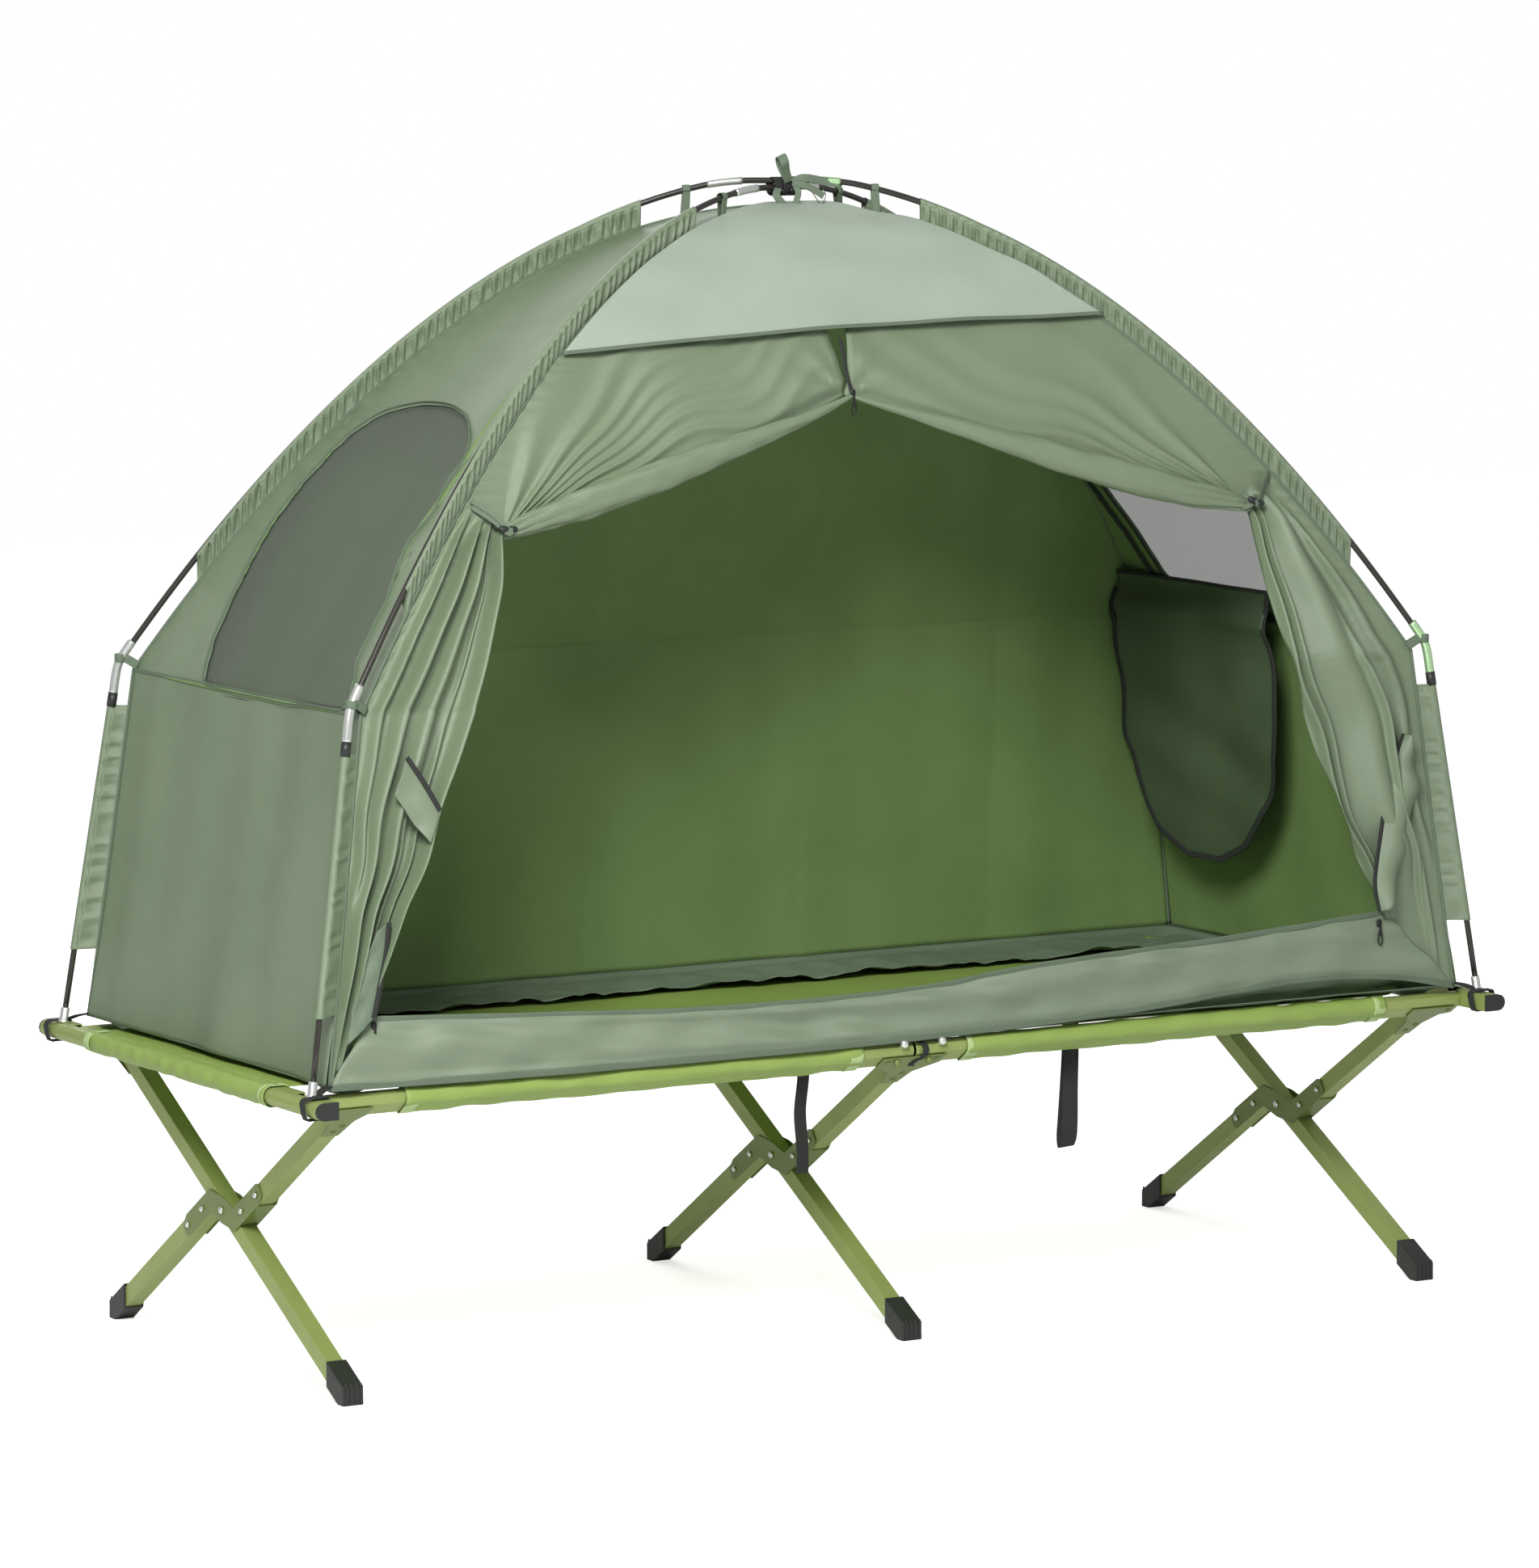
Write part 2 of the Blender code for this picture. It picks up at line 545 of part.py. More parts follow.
for side, sx, win in (("left", -1, WIN), ("right", 1, WIN_R)):
    wall = panel("canopy_" + side, side, 0.0)
    cut(wall, prism("window", win, along_x, sx * 0.45 * LONG, sx * LONG))
    mesh = panel("window_mesh_" + side, side, 0.02, prof=[p for p in RIDGE if p[0] > 0.25 * WIDE])
    boolean(mesh, prism("window", shrink(win, 0.0006), along_x, sx * 0.45 * LONG, sx * LONG), 'INTERSECT')
    bake(mesh)
    # pole sleeves and the strips that carry them
    for corner, (pole, sgn) in CORNERS.items():
        if not corner.endswith(side):
            continue
        dg = DIAG[pole]
        full = arch_path(1 if pole == "b" else 0)
        if sgn < 0:
            up = full[2:10]
        else:
            up = full[-10:-2]
        lower = [Vector((sgn * low_s(z), z)) for z in (high(0.530), high(0.875))]

        def strip(pts, inner):
            vs = []
            for t in (-0.0006, 0.0006):
                for p, q in zip(pts, inner):
                    for g in (p, q):
                        vs.append(Vector((dg[0] * g.x - dg[1] * t, dg[1] * g.x + dg[0] * t, g.y)))
            n = len(pts)
            o = 2 * n
            fs = []
            for i in range(n - 1):
                a, b, c, d = 2 * i, 2 * i + 1, 2 * i + 3, 2 * i + 2
                fs += [[a, b, c, d], [o + a, o + d, o + c, o + b], [a, d, o + d, o + a], [b, o + b, o + c, c]]
            fs += [[0, o, o + 1, 1], [o - 2, o - 1, 2 * o - 1, 2 * o - 2]]
            return mesh_object("strip", vs, fs)

        # upper strip: from just inside the sleeve wall to just inside the wall cloth
        outer_e, inner_e = [], []
        for kk, p in enumerate(up):
            a = up[max(kk - 1, 0)]
            b = up[min(kk + 1, len(up) - 1)]
            t = (b - a).normalized()
            nrm = Vector((-t.y, t.x))
            if nrm.y > 0:
                nrm = -nrm
            outer_e.append(p + nrm * (ROD_R + 0.00115))
            s = abs(p.x)
            # the ridge seam lies at the same sample s
            inner_e.append(Vector((p.x, ridge_z(s) - 0.0004)))
        union(wall, strip(outer_e, inner_e))
        union(wall, sweep("sleeve", ring_along(up, ROD_R + 0.00195, 8, dg), ring_along(up, ROD_R + 0.00095, 8, dg)))
        zs = (high(0.530), HIP_Z, high(0.875))

        def ridge_low(z):
            if z <= HIP_Z:
                return FLOOR_S + (HIP_S - FLOOR_S) * (z - FLOOR_Z) / (HIP_Z - FLOOR_Z)
            return HIP_S + (BEND_S - HIP_S) * (z - HIP_Z) / (BEND_Z - HIP_Z)
        outer_l = [Vector((sgn * (low_s(z) - ROD_R - 0.00135), z)) for z in zs]
        inner_l = [Vector((sgn * (ridge_low(z) - 0.0006), z)) for z in zs]
        union(wall, strip(outer_l, inner_l))
        lw = [Vector((sgn * low_s(z), z)) for z in (zs[0], zs[-1])]
        union(wall, sweep("sleeve", ring_along(lw, ROD_R + 0.00195, 8, dg), ring_along(lw, ROD_R + 0.00095, 8, dg)))

SET = 0.0011 / SPH
back = panel("canopy_back", "back", SET)

# door opening in (x, z)
MARGIN = [(0.645, 1.165), (0.722, 1.070), (0.805, 0.948), (0.834, 0.819), (0.849, 0.706), (0.860, 0.622), (0.868, 0.540)]
half_top = [(0.020, 1.300), (0.200, 1.262), (0.400, 1.215), (0.585, 1.178)]
right_side = half_top + MARGIN
DOOR = [(-x, z) for x, z in right_side[::-1]] + right_side + [(0.785, 0.545), (0.223, 0.518), (-0.304, 0.500), (-0.845, 0.522)]
DOOR = [(x * LONG, high(z)) for x, z in DOOR]
front = panel("canopy_front", "front", SET)
cut(front, prism("door", DOOR, along_y, -0.50 * DEEP, -0.10 * DEEP))

hem_z = high(1.392)
hood_prof = [p for p in RIDGE if p[1] > hem_z + 0.008]
hem_s = BEND_S * math.sqrt((RIDGE_TOP - hem_z) / (RIDGE_TOP - BEND_Z))
panel("awning", "front", 0.0040 / SPH, off0=-0.011, prof=[(hem_s, hem_z)] + hood_prof)

ring_o = [(-TENT_X + 0.006, -TENT_Y + 0.006), (TENT_X - 0.006, -TENT_Y + 0.006), (TENT_X - 0.006, TENT_Y - 0.006), (-TENT_X + 0.006, TENT_Y - 0.006)]
ring_i = [(-0.735 * LONG, -0.190 * DEEP), (0.735 * LONG, -0.190 * DEEP), (0.735 * LONG, 0.190 * DEEP), (-0.735 * LONG, 0.190 * DEEP)]
tube("floor_border", ring_o, ring_i, lambda p, q, w: Vector((p, q, w)), FLOOR_Z + 0.0004, FLOOR_Z + 0.0016)


# door flaps: pleated cloth drawn to the side, from the top of the zip to the sill
def wall_y(z):
    if z >= BEND_Z:
        s = BEND_S * math.sqrt(max(0.0, RIDGE_TOP - z) / (RIDGE_TOP - BEND_Z))
    elif z >= HIP_Z:
        s = BEND_S + (HIP_S - BEND_S) * (BEND_Z - z) / (BEND_Z - HIP_Z)
    else:
        s = HIP_S + (FLOOR_S - HIP_S) * (HIP_Z - z) / (HIP_Z - FLOOR_Z)
    return -s * SPH


FLAP = [((0.030, 1.283), (0.030, 1.292), 0.001), ((0.200, 1.222), (0.200, 1.253), 0.004), ((0.400, 1.172), (0.400, 1.206), 0.005),
        ((0.550, 1.148), (0.562, 1.170), 0.005), ((0.590, 1.130), (0.628, 1.152), 0.005), ((0.608, 1.085), (0.695, 1.092), 0.007),
        ((0.632, 1.020), (0.750, 1.020), 0.009), ((0.668, 0.948), (0.798, 0.948), 0.010), ((0.722, 0.819), (0.828, 0.819), 0.010),
        ((0.774, 0.706), (0.843, 0.706), 0.008), ((0.812, 0.622), (0.854, 0.622), 0.006), ((0.838, 0.556), (0.861, 0.556), 0.003)]
COLS = 7
for tag, sx in (("left", -1), ("right", 1)):
    verts = []
    for lay in (0.0, CLOTH):
        for (xi, zi), (xo, zo), amp in FLAP:
            for c in range(COLS):
                t = c / (COLS - 1)
                x, z = LONG * (xi + (xo - xi) * t), high(zi + (zo - zi) * t)
                y = wall_y(z) + (amp if c % 2 else -amp) - 0.004
                verts.append(Vector((sx * x, y + lay, z)))
    R = len(FLAP)
    o = R * COLS
    faces = []
    for r in range(R - 1):
        for c in range(COLS - 1):
            a = r * COLS + c
            faces += [[a, a + 1, a + COLS + 1, a + COLS], [o + a, o + a + COLS, o + a + COLS + 1, o + a + 1]]
        for c in (0, COLS - 1):
            a = r * COLS + c
            faces.append([a, a + COLS, o + a + COLS, o + a])
    for r in (0, R - 1):
        for c in range(COLS - 1):
            a = r * COLS + c
            faces.append([a, a + 1, o + a + 1, o + a])
    mesh_object("door_flap_" + tag, verts, faces)

# window covers, unzipped and hanging inside
COVER = [(0.366, 0.985), (0.366, 0.830), (0.306, 0.724), (0.280, 0.650), (0.250, 0.598), (0.180, 0.573), (0.097, 0.572),
         (0.035, 0.594), (-0.054, 0.680), (-0.092, 0.776), (-0.090, 0.985)]
pts = [(min(max(y, -0.310), 0.310) * DEEP, high(z)) for y, z in COVER]
zt = pts[0][1]
prism("window_flap_right", pts, lambda p, q, w: Vector((0.792 * LONG + w - 0.05 * max(0.0, 0.1 - (zt - q)), p, q)), 0.0, CLOTH)

# webbing strap under the bed cloth, both ends hanging behind the front rail
STRAP_Y, STRAP_W = 0.040 - RAIL_Y, 0.0125
LOOP_X, FREE_X = 0.292 * LONG, -0.150 * LONG
strap = [(FREE_X - 0.0008, 0.245), (FREE_X + 0.0008, 0.245), (FREE_X + 0.0008, 0.4222), (LOOP_X - 0.0008, 0.4222),
         (LOOP_X - 0.0008, 0.345), (LOOP_X - 0.012, 0.300), (LOOP_X - 0.012, 0.255), (LOOP_X, 0.243), (LOOP_X + 0.012, 0.255),
         (LOOP_X + 0.012, 0.300), (LOOP_X + 0.0008, 0.345), (LOOP_X + 0.0008, 0.4236), (FREE_X - 0.0008, 0.4236)]
hang = prism("hanging_strap", strap, along_y, STRAP_Y - STRAP_W, STRAP_Y + STRAP_W)
cut(hang, prism("loop", [(LOOP_X - 0.0102, 0.256), (LOOP_X, 0.2452), (LOOP_X + 0.0102, 0.256), (LOOP_X + 0.0102, 0.300),
                         (LOOP_X, 0.341), (LOOP_X - 0.0102, 0.300)], along_y, STRAP_Y - 0.03, STRAP_Y + 0.03))

# zip pulls: ring end on the slider, tab hanging down outside the cloth
for tag, x, z in (("door", -0.015 * LONG, high(1.3140)), ("sill_left", -0.848 * LONG, high(0.5080)), ("sill_right", 0.787 * LONG, high(0.5300))):
    y = wall_y(z) - (0.0045 if tag != "door" else 0.0075)
    body = [(-0.0022, 0.002), (0.0022, 0.002), (0.0032, -0.010), (0.0034, -0.026), (0.0, -0.0295), (-0.0034, -0.026), (-0.0032, -0.010)]
    prism("zip_pull_" + tag, body, lambda p, q, w, x=x, z=z: Vector((x + p, w, z + q)), y - 0.0008, y + 0.0008)

# leave only the pieces in the scene
for ob in list(cutters.objects):
    bpy.data.objects.remove(ob, do_unlink=True)
bpy.data.collections.remove(cutters)
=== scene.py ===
# %% [markdown]
# # A small tent on a folding camp bed
#
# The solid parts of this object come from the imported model: tubes, legs, brackets and poles.
# This lesson dresses them. Every cloth, strap, zip and finish is worked out here with numpy,
# as surfaces of two parameters, and then handed to Blender as a mesh.

# %% Load Blender, numpy and the frame
import json
import math

import bpy
import numpy as np
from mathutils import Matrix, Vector

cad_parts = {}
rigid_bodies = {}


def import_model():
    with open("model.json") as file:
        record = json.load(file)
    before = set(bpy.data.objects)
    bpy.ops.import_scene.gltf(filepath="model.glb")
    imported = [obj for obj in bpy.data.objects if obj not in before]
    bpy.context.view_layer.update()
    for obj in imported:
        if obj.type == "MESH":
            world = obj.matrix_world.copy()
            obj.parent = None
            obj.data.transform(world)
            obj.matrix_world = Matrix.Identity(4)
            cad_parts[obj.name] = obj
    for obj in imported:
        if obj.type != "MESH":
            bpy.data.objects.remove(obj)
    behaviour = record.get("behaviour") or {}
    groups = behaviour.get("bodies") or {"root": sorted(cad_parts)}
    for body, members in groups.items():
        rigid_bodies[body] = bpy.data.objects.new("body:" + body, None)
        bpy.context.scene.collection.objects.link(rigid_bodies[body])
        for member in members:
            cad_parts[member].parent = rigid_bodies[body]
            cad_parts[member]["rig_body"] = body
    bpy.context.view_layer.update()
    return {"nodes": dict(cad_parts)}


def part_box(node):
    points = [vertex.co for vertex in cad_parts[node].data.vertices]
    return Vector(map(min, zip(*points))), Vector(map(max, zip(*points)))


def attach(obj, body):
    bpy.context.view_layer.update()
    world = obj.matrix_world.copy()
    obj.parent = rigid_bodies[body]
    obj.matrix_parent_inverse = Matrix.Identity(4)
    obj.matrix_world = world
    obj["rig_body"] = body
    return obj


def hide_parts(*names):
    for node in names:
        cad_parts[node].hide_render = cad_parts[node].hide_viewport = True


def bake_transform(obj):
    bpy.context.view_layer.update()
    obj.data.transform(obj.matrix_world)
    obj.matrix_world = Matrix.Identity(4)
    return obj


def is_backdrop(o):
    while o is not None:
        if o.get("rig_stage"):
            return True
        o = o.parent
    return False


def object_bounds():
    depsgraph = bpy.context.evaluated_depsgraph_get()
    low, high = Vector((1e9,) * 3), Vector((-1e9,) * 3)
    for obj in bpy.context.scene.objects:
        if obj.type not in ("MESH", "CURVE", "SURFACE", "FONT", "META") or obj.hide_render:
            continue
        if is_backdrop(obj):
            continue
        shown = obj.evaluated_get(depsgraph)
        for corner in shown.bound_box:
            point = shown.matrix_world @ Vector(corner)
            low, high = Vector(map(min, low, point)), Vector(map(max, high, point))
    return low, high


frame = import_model()
NODES = frame["nodes"]
print("frame loaded:", len(NODES), "solid parts")

# %% [markdown]
# ## Camera
#
# A long lens from a good distance keeps the upright lines nearly parallel. The camera stands
# a little above mid height, turned thirty degrees to the door side.

# %% Camera
VIEW_AZIMUTH = math.radians(30.63)
VIEW_DOWN = math.radians(6.852)
cam_data = bpy.data.cameras.new("camera")
cam_data.sensor_fit = "HORIZONTAL"
cam_data.sensor_width = 36.0
cam_data.lens = 170.1
cam_data.clip_end = 60.0
camera = bpy.data.objects.new("camera", cam_data)
camera.location = (-5.269, -8.868, 1.986)
camera.rotation_euler = (math.pi / 2 - VIEW_DOWN, 0.0, -VIEW_AZIMUTH)
bpy.context.scene.collection.objects.link(camera)
bpy.context.scene.camera = camera
print("camera stands", round(math.hypot(*camera.location[:2]), 2), "m away")

# %% [markdown]
# ## Sizes
#
# The tent hangs between two poles that cross over it. Seen along its own diagonal each pole
# is a parabola, so one distance `s` from the middle gives its height. The cloth seam runs a
# hand's width below the pole, with the same `s`.

# %% Sizes taken from the frame
CLEAR = 0.006                                   # floor border to tent corner
border_low, border_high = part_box("floor_border")
TENT_X, TENT_Y = border_high.x + CLEAR, border_high.y + CLEAR
FLOOR_Z = border_low.z - 0.0004
TOP_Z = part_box("pole_arch_a")[1].z
RIDGE_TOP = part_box("canopy_back")[1].z + 0.001
ROD = 0.00425                                   # radius of a pole
rod_low, rod_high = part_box("lower_rod_front_right")
PIN_X, PIN_Y = rod_high.x - 0.006, -rod_low.y - 0.006
cap_low, cap_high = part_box("end_cap_right_front")
BAR_TOP, BAR_LOW = cap_high.z, cap_low.z
BAR_X0, BAR_X1 = cap_low.x, cap_high.x
ARCH = 0.75                                     # pole: z = TOP_Z - ARCH * s * s
SEAM_S, SEAM_Z = 0.921, 0.925                   # seam round the tent, level with the elbows
KNEE_S, KNEE_Z = 0.9575, 0.660                  # the corner of the tent bows out to here
PHI = math.atan2(PIN_Y, PIN_X)
CPH, SPH = math.cos(PHI), math.sin(PHI)
PIN_S = math.hypot(PIN_X, PIN_Y)
FLOOR_S = math.hypot(TENT_X, TENT_Y)
ELBOW_S, ELBOW_Z = 0.943, 0.934
CORNERS = {"front_left": (-1, -1), "front_right": (1, -1), "back_left": (-1, 1), "back_right": (1, 1)}
RIDES_OVER = {"front_left": 0.0, "front_right": 1.0, "back_left": 1.0, "back_right": 0.0}
TOP_S = 0.035                                   # the walls stop here, just under the crossing
RIGHT, BACKWARDS, UP = np.eye(3)


def arch_z(s, upper):
    """Height of a pole at distance s: a parabola, with a small hump where it rides over the other pole."""
    hump = 0.0095 * np.clip(1.0 - (np.abs(s) - 0.1) / 0.19, 0.0, 1.0)
    dip = 0.0035 * np.exp(-(s / 0.05) ** 2)
    return TOP_Z - ARCH * s * s + upper * hump - dip


def seam_z(s):
    """Height of the corner seam: a parabola above the elbow, two straight runs below it."""
    s = np.abs(s)
    top = RIDGE_TOP - (RIDGE_TOP - SEAM_Z) * (s / SEAM_S) ** 2
    low = np.interp(s, [SEAM_S, KNEE_S, FLOOR_S], [SEAM_Z, KNEE_Z, FLOOR_Z])
    return np.where(s <= SEAM_S, top, low)


def seam_s(z):
    """The same seam the other way round: distance from the middle at height z."""
    top = SEAM_S * np.sqrt(np.clip(RIDGE_TOP - z, 0.0, None) / (RIDGE_TOP - SEAM_Z))
    low = np.interp(z, [FLOOR_Z, KNEE_Z, SEAM_Z], [FLOOR_S, KNEE_S, SEAM_S])
    return np.where(z >= SEAM_Z, top, low)


print("tent floor", round(2 * TENT_X, 3), "by", round(2 * TENT_Y, 3), "m, crossing at", round(TOP_Z, 3),
      "m")

# %% [markdown]
# ## Tools for surfaces
#
# A grid of points becomes a mesh once its quads are listed. Everything soft or bent is made
# with the next few helpers: a grid, a profile carried along a path, and a few kinds of ripple
# that make cloth look like cloth.


# %% Grids
def grid_faces(rows, cols, ring_rows=False, ring_cols=False):
    """One quad between neighbouring rows and columns; a ring joins the last to the first."""
    r = np.arange(rows if ring_rows else rows - 1)
    c = np.arange(cols if ring_cols else cols - 1)
    r, c = np.meshgrid(r, c, indexing="ij")
    r1, c1 = (r + 1) % rows, (c + 1) % cols
    return np.stack([r * cols + c, r * cols + c1, r1 * cols + c1, r1 * cols + c], -1).reshape(-1, 4)


def lengths(points, axis):
    """Distance walked along one direction of a grid, which is its place on the flat cloth in metres."""
    step = np.linalg.norm(np.diff(points, axis=axis), axis=-1)
    start = np.zeros_like(np.take(step, [0], axis=axis))
    return np.cumsum(np.concatenate([start, step], axis=axis), axis=axis)


def add_mesh(name, verts, faces, flat):
    """Puts whole arrays of points and quads into a new mesh object, with a UV map in metres."""
    me = bpy.data.meshes.new(name)
    me.from_pydata(verts.reshape(-1, 3).tolist(), [], [list(f) for f in faces])
    index = np.zeros(len(me.loops), np.int32)
    me.loops.foreach_get("vertex_index", index)
    layer = me.uv_layers.new(name="flat")
    layer.data.foreach_set("uv", flat.reshape(-1, 2)[index].astype(np.float32).ravel())
    me.polygons.foreach_set("use_smooth", np.full(len(me.polygons), True))
    me.validate()
    ob = bpy.data.objects.new(name, me)
    bpy.context.scene.collection.objects.link(ob)
    return ob


def surface(name, points, ring_cols=False, away=(0.0, 0.0, 0.9), flat=None):
    """A grid of points of shape (rows, columns, 3) as a mesh, with its outside facing away from one point.
    flat is each point's place on the cloth; left out, it is the distance walked along rows and columns."""
    faces = grid_faces(points.shape[0], points.shape[1], False, ring_cols)
    corner = points.reshape(-1, 3)[faces]
    normal = np.cross(corner[:, 1] - corner[:, 0], corner[:, 3] - corner[:, 0])
    if (normal * (corner[:, 0] - np.array(away))).sum() < 0:
        faces = faces[:, ::-1]
    if flat is None:
        flat = np.stack([lengths(points, 1), lengths(points, 0)], -1)
    return add_mesh(name, points, faces, flat)


# %% Paths and sweeps
def smooth_path(points, count):
    """A Catmull-Rom curve: between two points it leaves in the direction of its neighbours."""
    k = np.asarray(points, float)
    k = np.concatenate([[2 * k[0] - k[1]], k, [2 * k[-1] - k[-2]]])
    t = np.linspace(0, len(k) - 3 - 1e-9, count)
    i = t.astype(int)
    f = (t - i)[:, None]
    a, b, c, d = k[i], k[i + 1], k[i + 2], k[i + 3]
    bend, twist = 2 * a - 5 * b + 4 * c - d, 3 * b - a - 3 * c + d
    return 0.5 * (2 * b + (c - a) * f + bend * f ** 2 + twist * f ** 3)


def unit(v):
    """The same directions, one long."""
    return v / np.maximum(np.linalg.norm(v, axis=-1, keepdims=True), 1e-12)


def sweep(path, profile, across, ring=False):
    """Carries a flat profile along a path. across is the direction of the profile's first axis."""
    ahead = np.roll(path, -1, 0) - np.roll(path, 1, 0) if ring else np.gradient(path, axis=0)
    t = unit(ahead)
    a = np.broadcast_to(np.asarray(across, float), path.shape)
    a = unit(a - (a * t).sum(-1, keepdims=True) * t)
    n = np.cross(t, a)
    if profile.ndim == 2:
        profile = np.broadcast_to(profile, (len(path), *profile.shape))
    return path[:, None] + profile[..., :1] * a[:, None] + profile[..., 1:] * n[:, None]


def loft(first, last, share):
    """Straight blend of two rows of points: share 0 gives the first, share 1 the last."""
    return first * (1 - share) + last * share


def circle(radius, sides):
    """Points round a circle: radius times the cosine and sine of evenly spaced angles."""
    a = np.arange(sides) * 2 * math.pi / sides
    return radius * np.stack([np.cos(a), np.sin(a)], -1)


def spun(girth, sides):
    """A round profile whose radius changes along the path, as if turned on a lathe."""
    return circle(1.0, sides)[None] * girth[:, None, None]


def power(v, sharp):
    """A power that keeps the sign: below one it swells a circle towards a square."""
    return np.sign(v) * np.abs(v) ** sharp


def flat_band(width, thick):
    """Profile of a strap: a flat bar with rounded edges, from eight points of a squared circle."""
    a = (np.arange(8) + 0.5) * 2 * math.pi / 8
    return np.stack([power(np.cos(a), 0.35) * width / 2, power(np.sin(a), 0.6) * thick / 2], -1)


def solid_sweep(name, path, profile, across, ring=False):
    """A closed solid: the profile carried along the path, with a face over each end."""
    points = sweep(path, profile, across, ring)
    rows, cols = points.shape[:2]
    faces = grid_faces(rows, cols, ring, True).tolist()
    flat = np.stack([lengths(points, 1), lengths(points, 0)], -1)
    if not ring:
        faces += [list(range(cols))[::-1], list(range((rows - 1) * cols, rows * cols))]
    ob = add_mesh(name, points, faces, flat)
    outward(ob)
    return ob


def outward(ob):
    """Turns a closed mesh the right way out: its signed volume is positive when faces point outwards."""
    me = ob.data
    co = np.zeros(len(me.vertices) * 3)
    me.vertices.foreach_get("co", co)
    co = co.reshape(-1, 3)
    me.calc_loop_triangles()
    tri = np.zeros(len(me.loop_triangles) * 3, np.int32)
    me.loop_triangles.foreach_get("vertices", tri)
    a, b, c = (co[tri.reshape(-1, 3)[:, k]] for k in range(3))
    if (a * np.cross(b, c)).sum() < 0:
        me.flip_normals()


# %% Ripples
WAVES = 7


def ripple(x, y, seed, scale):
    """Soft uneven bumps, about one high: slow sine waves in random directions, added up."""
    rng = np.random.default_rng(seed)
    total = 0.0
    for _ in range(WAVES):
        turn, size, shift = rng.uniform(0, math.pi), rng.uniform(0.6, 1.7), rng.uniform(0, 2 * math.pi)
        walked = x * math.cos(turn) + y * math.sin(turn)
        total = total + np.sin(2 * math.pi / (scale * size) * walked + shift)
    return total / math.sqrt(WAVES)


def pleat(t):
    """Rounded crests between narrow valleys, one for each whole step of t: 0 in a valley, 1 on a crest."""
    return np.abs(np.sin(math.pi * t)) ** 0.6


def fade(x, start, end):
    """A smooth step from 0 at start to 1 at end."""
    t = np.clip((x - start) / (end - start), 0.0, 1.0)
    return t * t * (3 - 2 * t)


print("a ripple at two places:", np.round(ripple(np.array([0.0, 0.1]), 0.0, 1, 0.2), 2))

# %% [markdown]
# ## Finishes
#
# Each effect that several finishes share is a node group: the weave of coated nylon, the soft
# creases of cloth that was folded in a bag, the fine speckle of powder coat. A finish then
# sets its own colour and scale on the group, and keeps its own shader.


# %% A small language for node trees
class Nodes:
    """Adds nodes to a tree and links them; a value that isn't a socket is set on the input."""

    def __init__(self, tree):
        """Works on one node tree."""
        self.tree = tree

    def add(self, kind, inputs=(), **settings):
        """A new node with its settings and its inputs."""
        node = self.tree.nodes.new(kind)
        for key, value in settings.items():
            setattr(node, key, value)
        for key, value in dict(inputs).items():
            self.put(node.inputs[key], value)
        return node

    def put(self, socket, value):
        """Links an output to an input, or sets a plain value on it."""
        if isinstance(value, bpy.types.NodeSocket):
            self.tree.links.new(value, socket)
        else:
            socket.default_value = value

    def math(self, operation, a, b=0.0, c=0.0):
        """One step of arithmetic."""
        return self.add("ShaderNodeMath", {0: a, 1: b, 2: c}, operation=operation).outputs[0]

    def mix(self, share, a, b):
        """A colour between a and b."""
        node = self.add("ShaderNodeMix", {0: share}, data_type="RGBA")
        self.put(node.inputs[6], a)
        self.put(node.inputs[7], b)
        return node.outputs[2]

    def ramp(self, value, low, high):
        """A smooth step of the value, from 0 at low to 1 at high."""
        inputs = {"Value": value, "From Min": low, "From Max": high}
        return self.add("ShaderNodeMapRange", inputs, interpolation_type="SMOOTHSTEP").outputs["Result"]


def new_group(name, inputs, outputs):
    """An empty shader group with named sockets; inputs are (name, kind, default)."""
    tree = bpy.data.node_groups.new(name, "ShaderNodeTree")
    for label, kind, value in inputs:
        socket = tree.interface.new_socket(label, in_out="INPUT", socket_type="NodeSocket" + kind)
        if value is not None:
            socket.default_value = value
    for label, kind in outputs:
        tree.interface.new_socket(label, in_out="OUTPUT", socket_type="NodeSocket" + kind)
    nodes = Nodes(tree)
    return nodes, nodes.add("NodeGroupInput").outputs, nodes.add("NodeGroupOutput").inputs


def rgba(r, g, b):
    """A colour as Blender's sockets take it, fully opaque."""
    return (r, g, b, 1.0)


# %% Weave of coated nylon
n, given, result = new_group(
    "nylon weave",
    [("Flat", "Vector", None), ("Colour", "Color", rgba(1, 1, 1)), ("Worn", "Color", rgba(1, 1, 1)),
     ("Thread", "Float", 0.0009), ("Crease", "Float", 0.4)],
    [("Colour", "Color"), ("Height", "Float"), ("Roughness", "Float")])
part = n.add("ShaderNodeSeparateXYZ", {0: given["Flat"]})
turns = n.math("DIVIDE", 2 * math.pi, given["Thread"])
warp = n.math("SINE", n.math("MULTIPLY", part.outputs[0], turns))
weft = n.math("SINE", n.math("MULTIPLY", part.outputs[1], turns))
cloth_grain = n.math("MULTIPLY", warp, weft)
slow = n.add("ShaderNodeTexNoise",
             {"Vector": given["Flat"], "Scale": 5.0, "Detail": 3.0, "Distortion": 0.6})
folds = n.add("ShaderNodeTexNoise",
              {"Vector": given["Flat"], "Scale": 9.0, "Detail": 2.0, "Distortion": 1.6})
ridge = n.math("ABSOLUTE", n.math("SUBTRACT", folds.outputs["Fac"], 0.5))
sharp_line = n.math("SUBTRACT", 1.0, n.ramp(ridge, 0.0, 0.05))
billow = n.math("MULTIPLY", slow.outputs["Fac"], given["Crease"])
height = n.math("ADD", n.math("MULTIPLY", cloth_grain, 0.04), billow)
